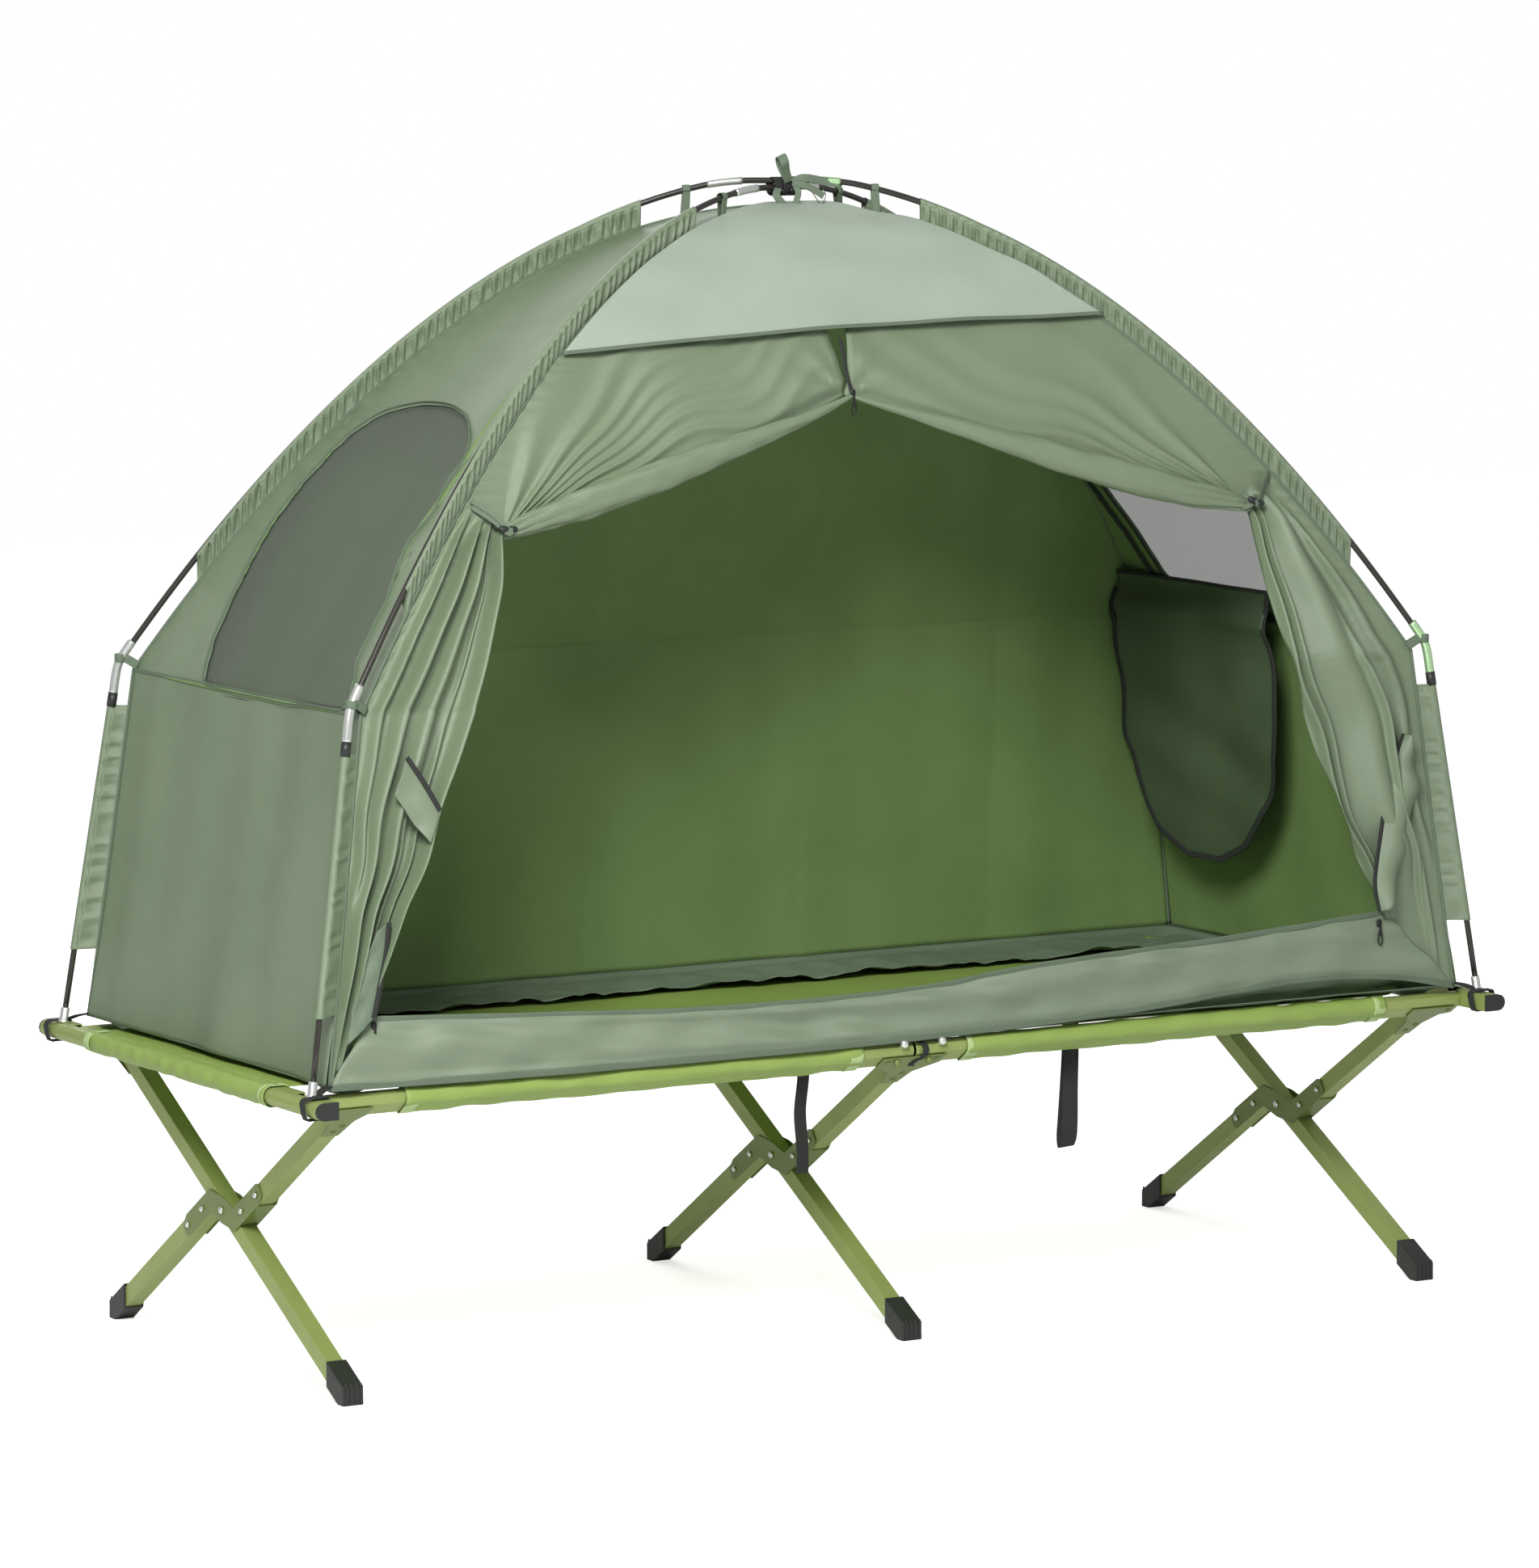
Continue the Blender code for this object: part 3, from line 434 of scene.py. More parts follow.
marks = n.math("MULTIPLY", n.math("MULTIPLY", sharp_line, given["Crease"]), 0.18)
n.put(result["Height"], n.math("ADD", height, marks))
mottle = n.ramp(slow.outputs["Fac"], 0.35, 0.65)
n.put(result["Colour"], n.mix(mottle, given["Colour"], given["Worn"]))
n.put(result["Roughness"], n.math("ADD", 0.34, n.math("MULTIPLY", mottle, 0.12)))
NYLON = n.tree
print("made the group", NYLON.name)

# %% Speckle of powder coat
n, given, result = new_group(
    "powder coat",
    [("Place", "Vector", None), ("Colour", "Color", rgba(1, 1, 1)), ("Speck", "Color", rgba(0, 0, 0)),
     ("Grain", "Float", 900.0)],
    [("Colour", "Color"), ("Height", "Float"), ("Roughness", "Float")])
fine = n.add("ShaderNodeTexNoise", {"Vector": given["Place"], "Scale": given["Grain"], "Detail": 2.0})
broad = n.add("ShaderNodeTexNoise", {"Vector": given["Place"], "Scale": 14.0, "Detail": 4.0})
patches = n.math("MULTIPLY", n.ramp(broad.outputs["Fac"], 0.45, 0.75), 0.5)
n.put(result["Colour"], n.mix(patches, given["Colour"], given["Speck"]))
n.put(result["Height"], fine.outputs["Fac"])
n.put(result["Roughness"], n.math("ADD", 0.36, n.math("MULTIPLY", broad.outputs["Fac"], 0.16)))
COAT = n.tree
print("made the group", COAT.name)

# %% Mesh of insect netting and ribs of webbing
n, given, result = new_group(
    "crossed threads",
    [("Flat", "Vector", None), ("Colour", "Color", rgba(1, 1, 1)), ("Gap", "Color", rgba(0, 0, 0)),
     ("Pitch", "Float", 0.0015), ("Skew", "Float", 1.0)],
    [("Colour", "Color"), ("Height", "Float")])
part = n.add("ShaderNodeSeparateXYZ", {0: given["Flat"]})
turns = n.math("DIVIDE", 2 * math.pi, given["Pitch"])
along = n.math("SINE", n.math("MULTIPLY", n.math("ADD", part.outputs[0], part.outputs[1]), turns))
skewed = n.math("MULTIPLY", part.outputs[1], given["Skew"])
over = n.math("SINE", n.math("MULTIPLY", n.math("SUBTRACT", part.outputs[0], skewed), turns))
thread = n.math("MAXIMUM", along, over)
n.put(result["Height"], thread)
n.put(result["Colour"], n.mix(n.ramp(thread, -0.2, 0.7), given["Gap"], given["Colour"]))
THREADS = n.tree
print("pattern groups:", [group.name for group in bpy.data.node_groups])


# %% Finishes from the groups
def finish_of(name, group, inputs, bump, coords="UV", **shader):
    """A material: the group feeds colour, roughness and bump; plain values go on the shader itself."""
    material = bpy.data.materials.new(name)
    material.use_nodes = True
    tree = material.node_tree
    tree.nodes.clear()
    n = Nodes(tree)
    place = n.add("ShaderNodeTexCoord").outputs[coords]
    pattern = n.add("ShaderNodeGroup", node_tree=group)
    for key, value in inputs.items():
        n.put(pattern.inputs[key], value)
    n.put(pattern.inputs[0], place)
    bsdf = n.add("ShaderNodeBsdfPrincipled")
    n.put(bsdf.inputs["Base Color"], pattern.outputs["Colour"])
    if "Roughness" in pattern.outputs and "Roughness" not in shader:
        n.put(bsdf.inputs["Roughness"], pattern.outputs["Roughness"])
    lift = n.add("ShaderNodeBump",
                 {"Strength": bump[0], "Distance": bump[1], "Height": pattern.outputs["Height"]})
    n.put(bsdf.inputs["Normal"], lift.outputs["Normal"])
    for key, value in shader.items():
        bsdf.inputs[key.replace("_", " ")].default_value = value
    out = n.add("ShaderNodeOutputMaterial")
    n.put(out.inputs["Surface"], bsdf.outputs["BSDF"])
    material.diffuse_color = (*inputs["Colour"][:3], 1.0)
    return material


def nylon(name, colour, worn, crease=0.35, thread=0.0009, **shader):
    """Coated cloth: its colour, its colour where worn, how creased it is and its thread."""
    inputs = {"Colour": rgba(*colour), "Worn": rgba(*worn), "Crease": crease, "Thread": thread}
    return finish_of(name, NYLON, inputs, (0.5, 0.004), **shader)


def coated(name, colour, speck, grain=900.0, bump=0.12, **shader):
    """A hard finish with a fine grain, for tube, plate, plastic and steel."""
    inputs = {"Colour": rgba(*colour), "Speck": rgba(*speck), "Grain": grain}
    return finish_of(name, COAT, inputs, (bump, 0.0004), coords="Object", **shader)


def woven(name, colour, gap, pitch, bump=0.4, skew=1.0, **shader):
    """Crossed threads with a darker gap between them, for tape, webbing and netting."""
    inputs = {"Colour": rgba(*colour), "Gap": rgba(*gap), "Pitch": pitch, "Skew": skew}
    return finish_of(name, THREADS, inputs, (bump, 0.0005), **shader)


# %% The finishes of the tent and the bed
sage_out = nylon("sage nylon, outside", (0.152, 0.202, 0.122), (0.138, 0.186, 0.110),
                 Specular_IOR_Level=0.7)
# the coated inner face is olive green; its colour is also made brighter as painted light, standing in for
# the light that comes through the thin cloth into the tent
sage_in_painted_bright = nylon("sage nylon, coated inside", (0.150, 0.245, 0.080), (0.136, 0.226, 0.070), 0.2,
                Roughness=0.55)
# painted light: the awning is the same sage nylon, given a lighter colour because its upward slope catches
# the light from above
lit_awning_nylon = nylon("sage nylon painted lighter where lit", (0.30, 0.357, 0.287), (0.278, 0.335, 0.265), Specular_IOR_Level=0.55)
# a slightly lighter copy of the outside nylon for the sill; on the turned-out left corner of the door it is
# painted light, because that flap of sage cloth catches the light
sill_and_lit_flap_nylon = nylon("sill nylon, painted lighter on the lit flap", (0.172, 0.222, 0.142), (0.156, 0.205, 0.128), Specular_IOR_Level=0.7)
# the floor cloth's finish; it also stands as painted shade on the low turned-out corner of the door, which
# is sage cloth in shadow
floor_and_shaded_flap_cloth = nylon("dark floor cloth, painted shade on the low flap", (0.150, 0.200, 0.135), (0.125, 0.172, 0.112), 0.8, Roughness=0.5)
cover_cloth = nylon("window cover cloth", (0.062, 0.092, 0.046), (0.053, 0.081, 0.039), 0.3, Roughness=0.5)
lime_cloth = nylon("lime bed cloth", (0.235, 0.335, 0.075), (0.215, 0.312, 0.062), 0.25, 0.0012,
                   Roughness=0.5)
band_cloth = woven("pale lime binding", (0.42, 0.56, 0.25), (0.30, 0.43, 0.16), 0.0016, Roughness=0.7)
net_cloth = woven("insect netting", (0.165, 0.195, 0.150), (0.075, 0.092, 0.072), 0.0016, 0.6,
                  Roughness=0.75, Alpha=0.50)
zip_tape = woven("zip tape", (0.020, 0.024, 0.020), (0.008, 0.010, 0.008), 0.0012, Roughness=0.75)
webbing = woven("black webbing", (0.020, 0.022, 0.020), (0.006, 0.007, 0.006), 0.0022, 0.8, 0.2,
                Roughness=0.8)
sage_tape = woven("sage tape", (0.125, 0.172, 0.112), (0.07, 0.10, 0.062), 0.0014, Roughness=0.6)
tube_paint = coated("olive tube coat", (0.275, 0.340, 0.105), (0.240, 0.302, 0.088), Metallic=0.35,
                    Specular_IOR_Level=0.5)
plate_paint = coated("olive plate coat", (0.140, 0.190, 0.045), (0.115, 0.160, 0.035), Roughness=0.36,
                     Metallic=0.2)
black_plastic = coated("black moulded plastic", (0.014, 0.016, 0.014), (0.022, 0.024, 0.022), 500.0, 0.2,
                       Roughness=0.48)
rod_finish = coated("black rod", (0.022, 0.020, 0.016), (0.035, 0.032, 0.026), 300.0, 0.1, Roughness=0.3)
steel = coated("plated steel", (0.72, 0.74, 0.71), (0.62, 0.64, 0.61), 1500.0, 0.05, Metallic=0.85,
               Roughness=0.28)
green_steel = coated("tinted steel", (0.50, 0.74, 0.42), (0.45, 0.68, 0.38), 1500.0, 0.05, Metallic=0.7,
                     Roughness=0.3)
zip_metal = coated("black zip metal", (0.018, 0.020, 0.018), (0.03, 0.03, 0.03), 800.0, 0.1, Metallic=0.4,
                   Roughness=0.35)
print("finishes:", len(bpy.data.materials))

# %% Finishing a piece


def placed(ob, body, replaces):
    """Says which body a piece moves with and the solid parts it stands for."""
    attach(ob, body)
    if replaces:
        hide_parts(*replaces)


def cloth(ob, body, outside, inside=None, thick=0.0008, replaces=()):
    """Finishes a sheet: a thickness by Solidify, a finish on each side, and its body."""
    ob.data.materials.append(outside)
    wall = ob.modifiers.new("cloth thickness", "SOLIDIFY")
    wall.thickness = thick
    wall.offset = -1.0
    wall.use_even_offset = False
    if inside is not None:
        ob.data.materials.append(inside)
        wall.material_offset = 1
    placed(ob, body, replaces)


def fitting(ob, body, finish, replaces=()):
    """Finishes a solid piece."""
    ob.data.materials.append(finish)
    placed(ob, body, replaces)


def piece(name, path, profile, across, finish, body="tent", ring=False, replaces=()):
    """Sweeps a closed solid along a path and finishes it."""
    fitting(solid_sweep(name, path, profile, across, ring), body, finish, replaces)


def declare(ob):
    """Reads the flat map of a sheet into an array and does nothing more with it."""
    me = ob.data
    uv = np.zeros(len(me.uv_layers[0].data) * 2, np.float32)
    me.uv_layers[0].data.foreach_get("uv", uv)

# %% [markdown]
# ## The walls of the tent
#
# A wall is ruled: at any height its cloth runs straight from one corner seam to the other.
# One function places a point of any wall, and a second says how far the cloth stands off that
# straight line, because tight cloth between two bent poles is drawn in and puckers at its seams.

# %% Points of a wall
WALLS = {"left": (CPH, -1, 0), "right": (CPH, 1, 0), "front": (SPH, -1, 1), "back": (SPH, 1, 1)}
WALL_SEED = {"left": 11, "right": 23, "back": 37}


def wall_point(side, across, s, lift=0.0):
    """across runs between the poles, s is the seam's distance from the middle, lift stands off the cloth."""
    k, sign, axis = WALLS[side]
    drop = (seam_z(s + 1e-4) - seam_z(s - 1e-4)) / 2e-4
    size = np.hypot(drop, k)
    out = sign * (k * s - drop / size * lift)
    up = seam_z(s) + k / size * lift
    across, out, up = np.broadcast_arrays(across, out, up)
    return np.stack([out, across, up] if axis == 0 else [across, out, up], -1)


def half_width(side, s):
    """Half the wall's width between the two seams."""
    return (SPH if WALLS[side][2] == 0 else CPH) * s


def wall_map(side, across, s):
    """Place on the flat cloth of a wall: across, and the distance walked down the slope."""
    steps = np.linspace(0, FLOOR_S, 400)
    walked = np.cumsum(np.hypot(np.gradient(steps) * WALLS[side][0], np.gradient(seam_z(steps))))
    return np.stack(np.broadcast_arrays(across, np.interp(s, steps, walked)), -1)


def slack(side, across, s, seed):
    """Cloth drawn in between the poles, soft bumps all over, and tight gathers along the two seams."""
    half = half_width(side, s)
    t = np.clip(across / half, -1.0, 1.0)
    edge = (1.0 - np.abs(t)) * half
    hollow = -0.016 * (1.0 - t * t) * fade(s, 0.15, 0.6) * (1.0 - fade(s, 0.93, FLOOR_S) * 0.7)
    soft = 0.0022 * ripple(across, s, seed, 0.20) * fade(edge, 0.0, 0.08)
    beat = 2 * math.pi * s / 0.019 + 2.2 * ripple(s, 0.0, seed + 1, 0.07)
    gather = 0.0016 * np.sin(beat) * np.exp(-edge / 0.030) * fade(edge, 0.0, 0.006) * (s < SEAM_S)
    return hollow + soft + gather


print("middle of the front wall is drawn in", round(float(slack("front", 0.0, 0.6, 1)) * 1000, 1), "mm")

# %% [markdown]
# ### End walls and their windows
#
# Each end wall has a D-shaped window. The wall round it is a loft between two outlines, the
# window's and the seam's, so the cut edge stays a clean curve. The far window is the near
# one turned half round, as on the real tent.

# %% Window outlines
WINDOW_BACK = [(0.148, 0.930), (0.189, 0.988), (0.210, 1.047), (0.226, 1.125), (0.216, 1.190),
               (0.196, 1.250), (0.158, 1.289), (0.096, 1.311), (0.030, 1.316)]
WINDOW_FRONT = [(-0.300, 0.930), (-0.268, 0.965), (-0.232, 1.000), (-0.224, 1.040), (-0.214, 1.070),
                (-0.190, 1.110),
                (-0.176, 1.150), (-0.190, 1.186), (-0.158, 1.218), (-0.160, 1.250), (-0.090, 1.294),
                (0.000, 1.314)]
FAR_FRONT = [(-0.262, 0.994), (-0.250, 1.060), (-0.220, 1.130), (-0.176, 1.180), (-0.158, 1.250),
             (-0.090, 1.294), (0.000, 1.314)]
FAR_BACK = [(0.205, 0.994), (0.214, 1.060), (0.226, 1.125), (0.216, 1.190), (0.196, 1.250), (0.158, 1.289),
            (0.096, 1.311), (0.030, 1.316)]
WINDOWS = {"left": (WINDOW_FRONT, WINDOW_BACK), "right": (FAR_FRONT, FAR_BACK)}
BASE_STEPS, SIDE_STEPS, WALL_STEPS = 40, 90, 44
print("near window from", WINDOW_BACK[0][1], "to", WINDOW_BACK[-1][1], "m")


def window_edges(side):
    """The two upright edges of a window as smooth curves of (y, z), from the base to the top."""
    edges = [smooth_path(edge, SIDE_STEPS) for edge in WINDOWS[side]]
    for edge, deep in zip(edges, (0.0040, 0.0015)):
        z = edge[:, 1]
        edge[:, 0] += deep * np.sin(2 * math.pi * z / 0.038 + 2 * np.sin(z * 40)) * fade(z, 0.94, 0.97)
    return edges


def window_ring(side):
    """The window's outline as one closed row of (y, z): along the base, up the back, down the front."""
    front, back = window_edges(side)
    t = np.linspace(0, 1, BASE_STEPS)[1:-1, None]
    base = loft(front[0], back[0], t)
    return np.concatenate([base, back, front[::-1]])


def seam_ring():
    """The upper wall's outline, point for point: level seam, up the back corner, down the front one."""
    t = np.linspace(0, 1, BASE_STEPS)[1:-1]
    s = np.linspace(SEAM_S, TOP_S, SIDE_STEPS)
    base = np.stack([(2 * t - 1) * SPH * SEAM_S, np.full_like(t, SEAM_Z)], -1)
    back = np.stack([SPH * s, seam_z(s)], -1)
    front = np.stack([-SPH * s, seam_z(s)], -1)
    return np.concatenate([base, back, front[::-1]])


def on_end(side, y, z, lift=0.0):
    """A point of an end wall at (y, z), with that wall's own slack."""
    s = np.maximum(seam_s(z), 0.02)
    return wall_point(side, y, s, slack(side, y, s, WALL_SEED[side]) + lift)


# %% Cloth of the end walls
for side in ("left", "right"):
    ring = loft(window_ring(side)[None], seam_ring()[None], np.linspace(0, 1, WALL_STEPS)[:, None, None])
    y, z = ring[..., 0], ring[..., 1]
    on_cloth = wall_map(side, y, seam_s(z))
    upper = surface("end_wall_upper_" + side, on_end(side, y, z), ring_cols=True, flat=on_cloth)
    cloth(upper, "tent", sage_out, sage_in_painted_bright, replaces=["canopy_" + side])
    declare(upper)

    t = np.linspace(-1, 1, 90)[None, :]
    s = np.linspace(SEAM_S, FLOOR_S, 70)[:, None]
    y = t * SPH * s
    hem = 0.004 * ripple(y, s, 31, 0.35) * fade(s, 0.97, FLOOR_S)
    low_cloth = wall_point(side, y, s, slack(side, y, s, WALL_SEED[side]) + hem)
    lower = surface("end_wall_lower_" + side, low_cloth, flat=wall_map(side, y, s))
    cloth(lower, "tent", sage_out, sage_in_painted_bright)
    declare(lower)

    front, back = window_edges(side)
    z_rows = np.linspace(front[0, 1], 1.3155, 70)
    y_front = np.interp(z_rows, front[:, 1], front[:, 0])
    y_back = np.interp(z_rows, back[:, 1], back[:, 0])
    across = np.linspace(0, 1, 60)[None, :]
    y = loft(y_front[:, None], y_back[:, None], across)
    net = surface("netting_" + side, on_end(side, y, z_rows[:, None] + 0 * y, -0.0016))
    cloth(net, "tent", net_cloth, thick=0.0003, replaces=["window_mesh_" + side])
    declare(net)

# %% Window hems, zip rings and the level seam
RING_STEPS = 240


def ring_path(side, grow, lift):
    """The window outline moved outwards by grow, as a closed path on the wall."""
    ring = window_ring(side)
    middle = ring.mean(0)
    step = np.roll(ring, -1, 0) - np.roll(ring, 1, 0)
    normal = unit(np.stack([step[:, 1], -step[:, 0]], -1))
    normal *= np.sign((normal * (ring - middle)).sum(-1, keepdims=True))
    moved = ring + normal * grow
    keep = np.linspace(0, len(moved) - 1, RING_STEPS).astype(int)
    moved = moved[keep]
    for _ in range(6):
        moved = (moved + np.roll(moved, 1, 0) + np.roll(moved, -1, 0)) / 3
    return on_end(side, moved[:, 0], np.maximum(moved[:, 1], SEAM_Z + 0.002), lift)


# each ring: how far outside the window, how far off the wall, its profile and finish
WINDOW_RINGS = {"hem": (0.0035, 0.0006, (0.0075, 0.0014), sage_tape),
                "zip": (0.036, -0.0040, (0.0016, 0.013), zip_tape),
                "trim": (-0.001, -0.0034, (0.0016, 0.0075), zip_tape)}
for side, sign in (("left", -1), ("right", 1)):
    for kind, (grow, lift, band, finish) in WINDOW_RINGS.items():
        piece("window_%s_%s" % (kind, side), ring_path(side, grow, lift), flat_band(*band), (sign, 0, 0.6),
              finish, ring=True)
    y = np.linspace(-1, 1, 120) * SPH * SEAM_S
    seam_line = on_end(side, y, np.full_like(y, SEAM_Z), 0.0004)
    piece("level_seam_" + side, seam_line, flat_band(0.0012, 0.0060), (sign, 0, 0), sage_tape)

# %% [markdown]
# ### Back wall
#
# The back wall is one plain sheet from the floor to the crossing. It is what shows through
# the open door, so it gets the long faint creases of cloth that has been folded.

# %% Back wall
t = np.linspace(-1, 1, 220)[None, :]
s = np.concatenate([np.linspace(TOP_S, SEAM_S, 150), np.linspace(SEAM_S, FLOOR_S, 60)[1:]])[:, None]
x = t * CPH * s
fold_marks = sum(0.0011 * np.exp(-np.abs(x - at) / 0.006) for at in (-0.46, -0.12, 0.24, 0.58))
fold_marks = fold_marks + sum(0.0009 * np.exp(-np.abs(seam_z(s) - at) / 0.006) for at in (0.72, 1.02))
back_cloth = wall_point("back", x, s, slack("back", x, s, WALL_SEED["back"]) + fold_marks)
back_wall = surface("back_wall", back_cloth, flat=wall_map("back", x, s))
cloth(back_wall, "tent", sage_out, sage_in_painted_bright, replaces=["canopy_back"])
declare(back_wall)

# %% [markdown]
# ### Front wall
#
# The door halves are tied back, so the front is a frame of cloth round a wide opening. It is a
# loft again: one row runs along the corner seams from floor to crossing to floor, the other
# follows the edge of the opening. Across it run the pleats. They fan out below each tie, and
# above it they shoot out towards the middle.

# %% Edge of the door opening, from the sill up to the tie and on to the middle
TIES = {"left": (-0.600, 1.152), "right": (0.606, 1.140)}
DOOR_TOP_X, DOOR_TOP_Z = DOOR_TOP = (-0.015, 1.322)
EDGE_LEFT = [(-0.860, 0.522), (-0.819, 0.622), (-0.776, 0.706), (-0.727, 0.819), (-0.669, 0.948),
             (-0.622, 1.070), (-0.603, 1.150), (-0.560, 1.164), (-0.400, 1.204), (-0.200, 1.256), DOOR_TOP]
EDGE_RIGHT = [(0.800, 0.540), (0.768, 0.600), (0.724, 0.690), (0.690, 0.780), (0.650, 0.900),
              (0.618, 1.050), (0.608, 1.140), (0.565, 1.154), (0.400, 1.198), (0.200, 1.253), DOOR_TOP]
SEAM_HEIGHTS = [FLOOR_Z, 0.600, 0.700, 0.820, 0.945, 1.060, 1.160, 1.250, 1.380, 1.490, RIDGE_TOP - 0.002]
ALONG, ACROSS = 330, 110
TIE_STATION = 6.0 / 10.0                        # share of the way along the edge where the tie sits
print("door opening is", round(EDGE_RIGHT[0][0] - EDGE_LEFT[0][0], 3), "m wide at the sill")


def front_loft(edge, sign):
    """The grid between seam and door edge: (x, z) and the two parameters, along 0..1 and across 0..1."""
    inner = smooth_path(edge, ALONG)
    z_out = smooth_path(np.array(SEAM_HEIGHTS)[:, None], ALONG)[:, 0]
    z_out = np.clip(z_out, FLOOR_Z, RIDGE_TOP - 0.002)
    outer = np.stack([sign * CPH * seam_s(z_out), z_out], -1)
    b = np.linspace(0, 1, ACROSS)[None, :, None]
    grid = loft(outer[:, None], inner[:, None], b)
    q = np.linspace(0, 1, ALONG)[:, None]
    return grid[..., 0], grid[..., 1], q, b[..., 0]


# %% Folds of the door cloth
# each fold that shoots out of a tie: its angle above the level, half its spread, its height, its reach
FANS = {"left": [(0.33, 0.020, 0.0060, 0.50), (0.40, 0.020, 0.0065, 0.42), (0.47, 0.018, 0.0060, 0.34),
                 (0.535, 0.020, 0.0060, 0.30),
                 (0.61, 0.028, 0.0080, 0.32), (0.73, 0.050, 0.0085, 0.30), (1.02, 0.120, 0.0060, 0.20)],
        "right": [(0.35, 0.035, 0.0080, 0.50), (0.45, 0.030, 0.0055, 0.34), (0.56, 0.045, 0.0070, 0.28),
                  (0.78, 0.070, 0.0060, 0.20)]}

# each pleat that hangs from a tie: its place across the cloth at the tie and at the floor, half its
# width, its height, and where it starts and ends on the way down
PLEATS = {"left": [(0.22, 0.02, 0.050, 0.009, 0.00, 0.75), (0.50, 0.06, 0.070, 0.014, 0.00, 0.98),
                   (0.70, 0.33, 0.075, 0.013, 0.00, 1.00),
                   (0.60, 0.62, 0.028, 0.006, 0.45, 0.88), (0.76, 0.78, 0.028, 0.006, 0.42, 0.88),
                   (0.94, 0.92, 0.055, 0.014, 0.00, 1.00), (0.83, 0.70, 0.020, 0.004, 0.00, 0.40)],
          "right": [(0.30, 0.10, 0.060, 0.007, 0.10, 0.80), (0.55, 0.22, 0.040, 0.006, 0.35, 1.00),
                    (0.62, 0.45, 0.160, 0.014, 0.00, 0.85),
                    (0.84, 0.90, 0.030, 0.007, 0.00, 0.95), (0.96, 0.97, 0.030, 0.009, 0.00, 1.00),
                    (0.50, 0.30, 0.030, 0.005, 0.30, 0.95)]}
FAN_HEIGHT, PLEAT_HEIGHT = 1.5, 2.1             # scale of all the heights in the two tables


def fan_folds(x, z, side, sign, seed):
    """Ridges that shoot out of a tie: each keeps its angle round the tie and dies away with distance."""
    dx, dz = -sign * (x - TIES[side][0]), z - TIES[side][1]
    far = np.hypot(dx, dz)
    angle = np.arctan2(dz, dx) + 0.03 * ripple(far, 0 * far, seed, 0.25) * fade(far, 0.02, 0.2)
    total = 0.0
    for at, spread, height, reach in FANS[side]:
        total = total + FAN_HEIGHT * height * np.exp(-((angle - at) / spread) ** 2) * np.exp(-far / reach)
    return total * fade(far, 0.0, 0.06) * (dx > -0.05)


def hanging_folds(q, b, side, seed):
    """Ridges that hang from a tie, each on its own slanting line, with a sharp valley between neighbours."""
    down = 1 - q / TIE_STATION
    wander = 0.020 * ripple(q, 0 * q, seed, 0.12)
    total = 0.0
    for at_tie, at_floor, wide, height, start, end in PLEATS[side]:
        centre = at_tie + (at_floor - at_tie) * np.clip(down, 0, 1) + wander
        reach = fade(down, start - 0.12, start + 0.08) * (1 - fade(down, end - 0.15, end + 0.05))
        total = total + PLEAT_HEIGHT * height * np.exp(-np.abs((b - centre) / wide) ** 2.2) * reach
    below_tie = 1 - fade(q, TIE_STATION, TIE_STATION + 0.05)
    return (total - 0.003 * fade(b, 0.05, 0.3)) * fade(b, 0.0, 0.06) * below_tie


# %% The two front halves
for side, sign, edge, seed in (("left", -1, EDGE_LEFT, 51), ("right", 1, EDGE_RIGHT, 67)):
    x, z, q, b = front_loft(edge, sign)
    s = np.maximum(seam_s(z), 0.025)
    fans = fan_folds(x, z, side, sign, seed) * fade(q, TIE_STATION - 0.02, TIE_STATION + 0.08)
    lift = slack("front", x, s, seed) * (1 - 0.5 * b) + hanging_folds(q, b, side, seed) + fans
    dx, dz = x - DOOR_TOP_X, z - DOOR_TOP_Z
    far = np.hypot(dx, dz)
    pucker = 0.0035 * np.sin(9 * np.arctan2(dz, dx)) * np.exp(-far / 0.05) * fade(far, 0.0, 0.02)
    tuck = -0.010 * fade(b, 0.93, 1.0) * fade(q, TIE_STATION - 0.1, TIE_STATION + 0.05)
    door = surface("front_wall_" + side, wall_point("front", x, s, lift + pucker + tuck),
                   flat=wall_map("front", x, s))
    cloth(door, "tent", sage_out, sage_in_painted_bright, replaces=["canopy_front", "door_flap_" + side])
    declare(door)

# %% [markdown]
# ### Rolls over the door
#
# From the middle zip to each tie the spare cloth hangs in a roll: thin at the zip, thick half
# way, pinched at the tie. It is a tube whose profile swells along its path and has grooves
# cut into it, deeper towards the tie.

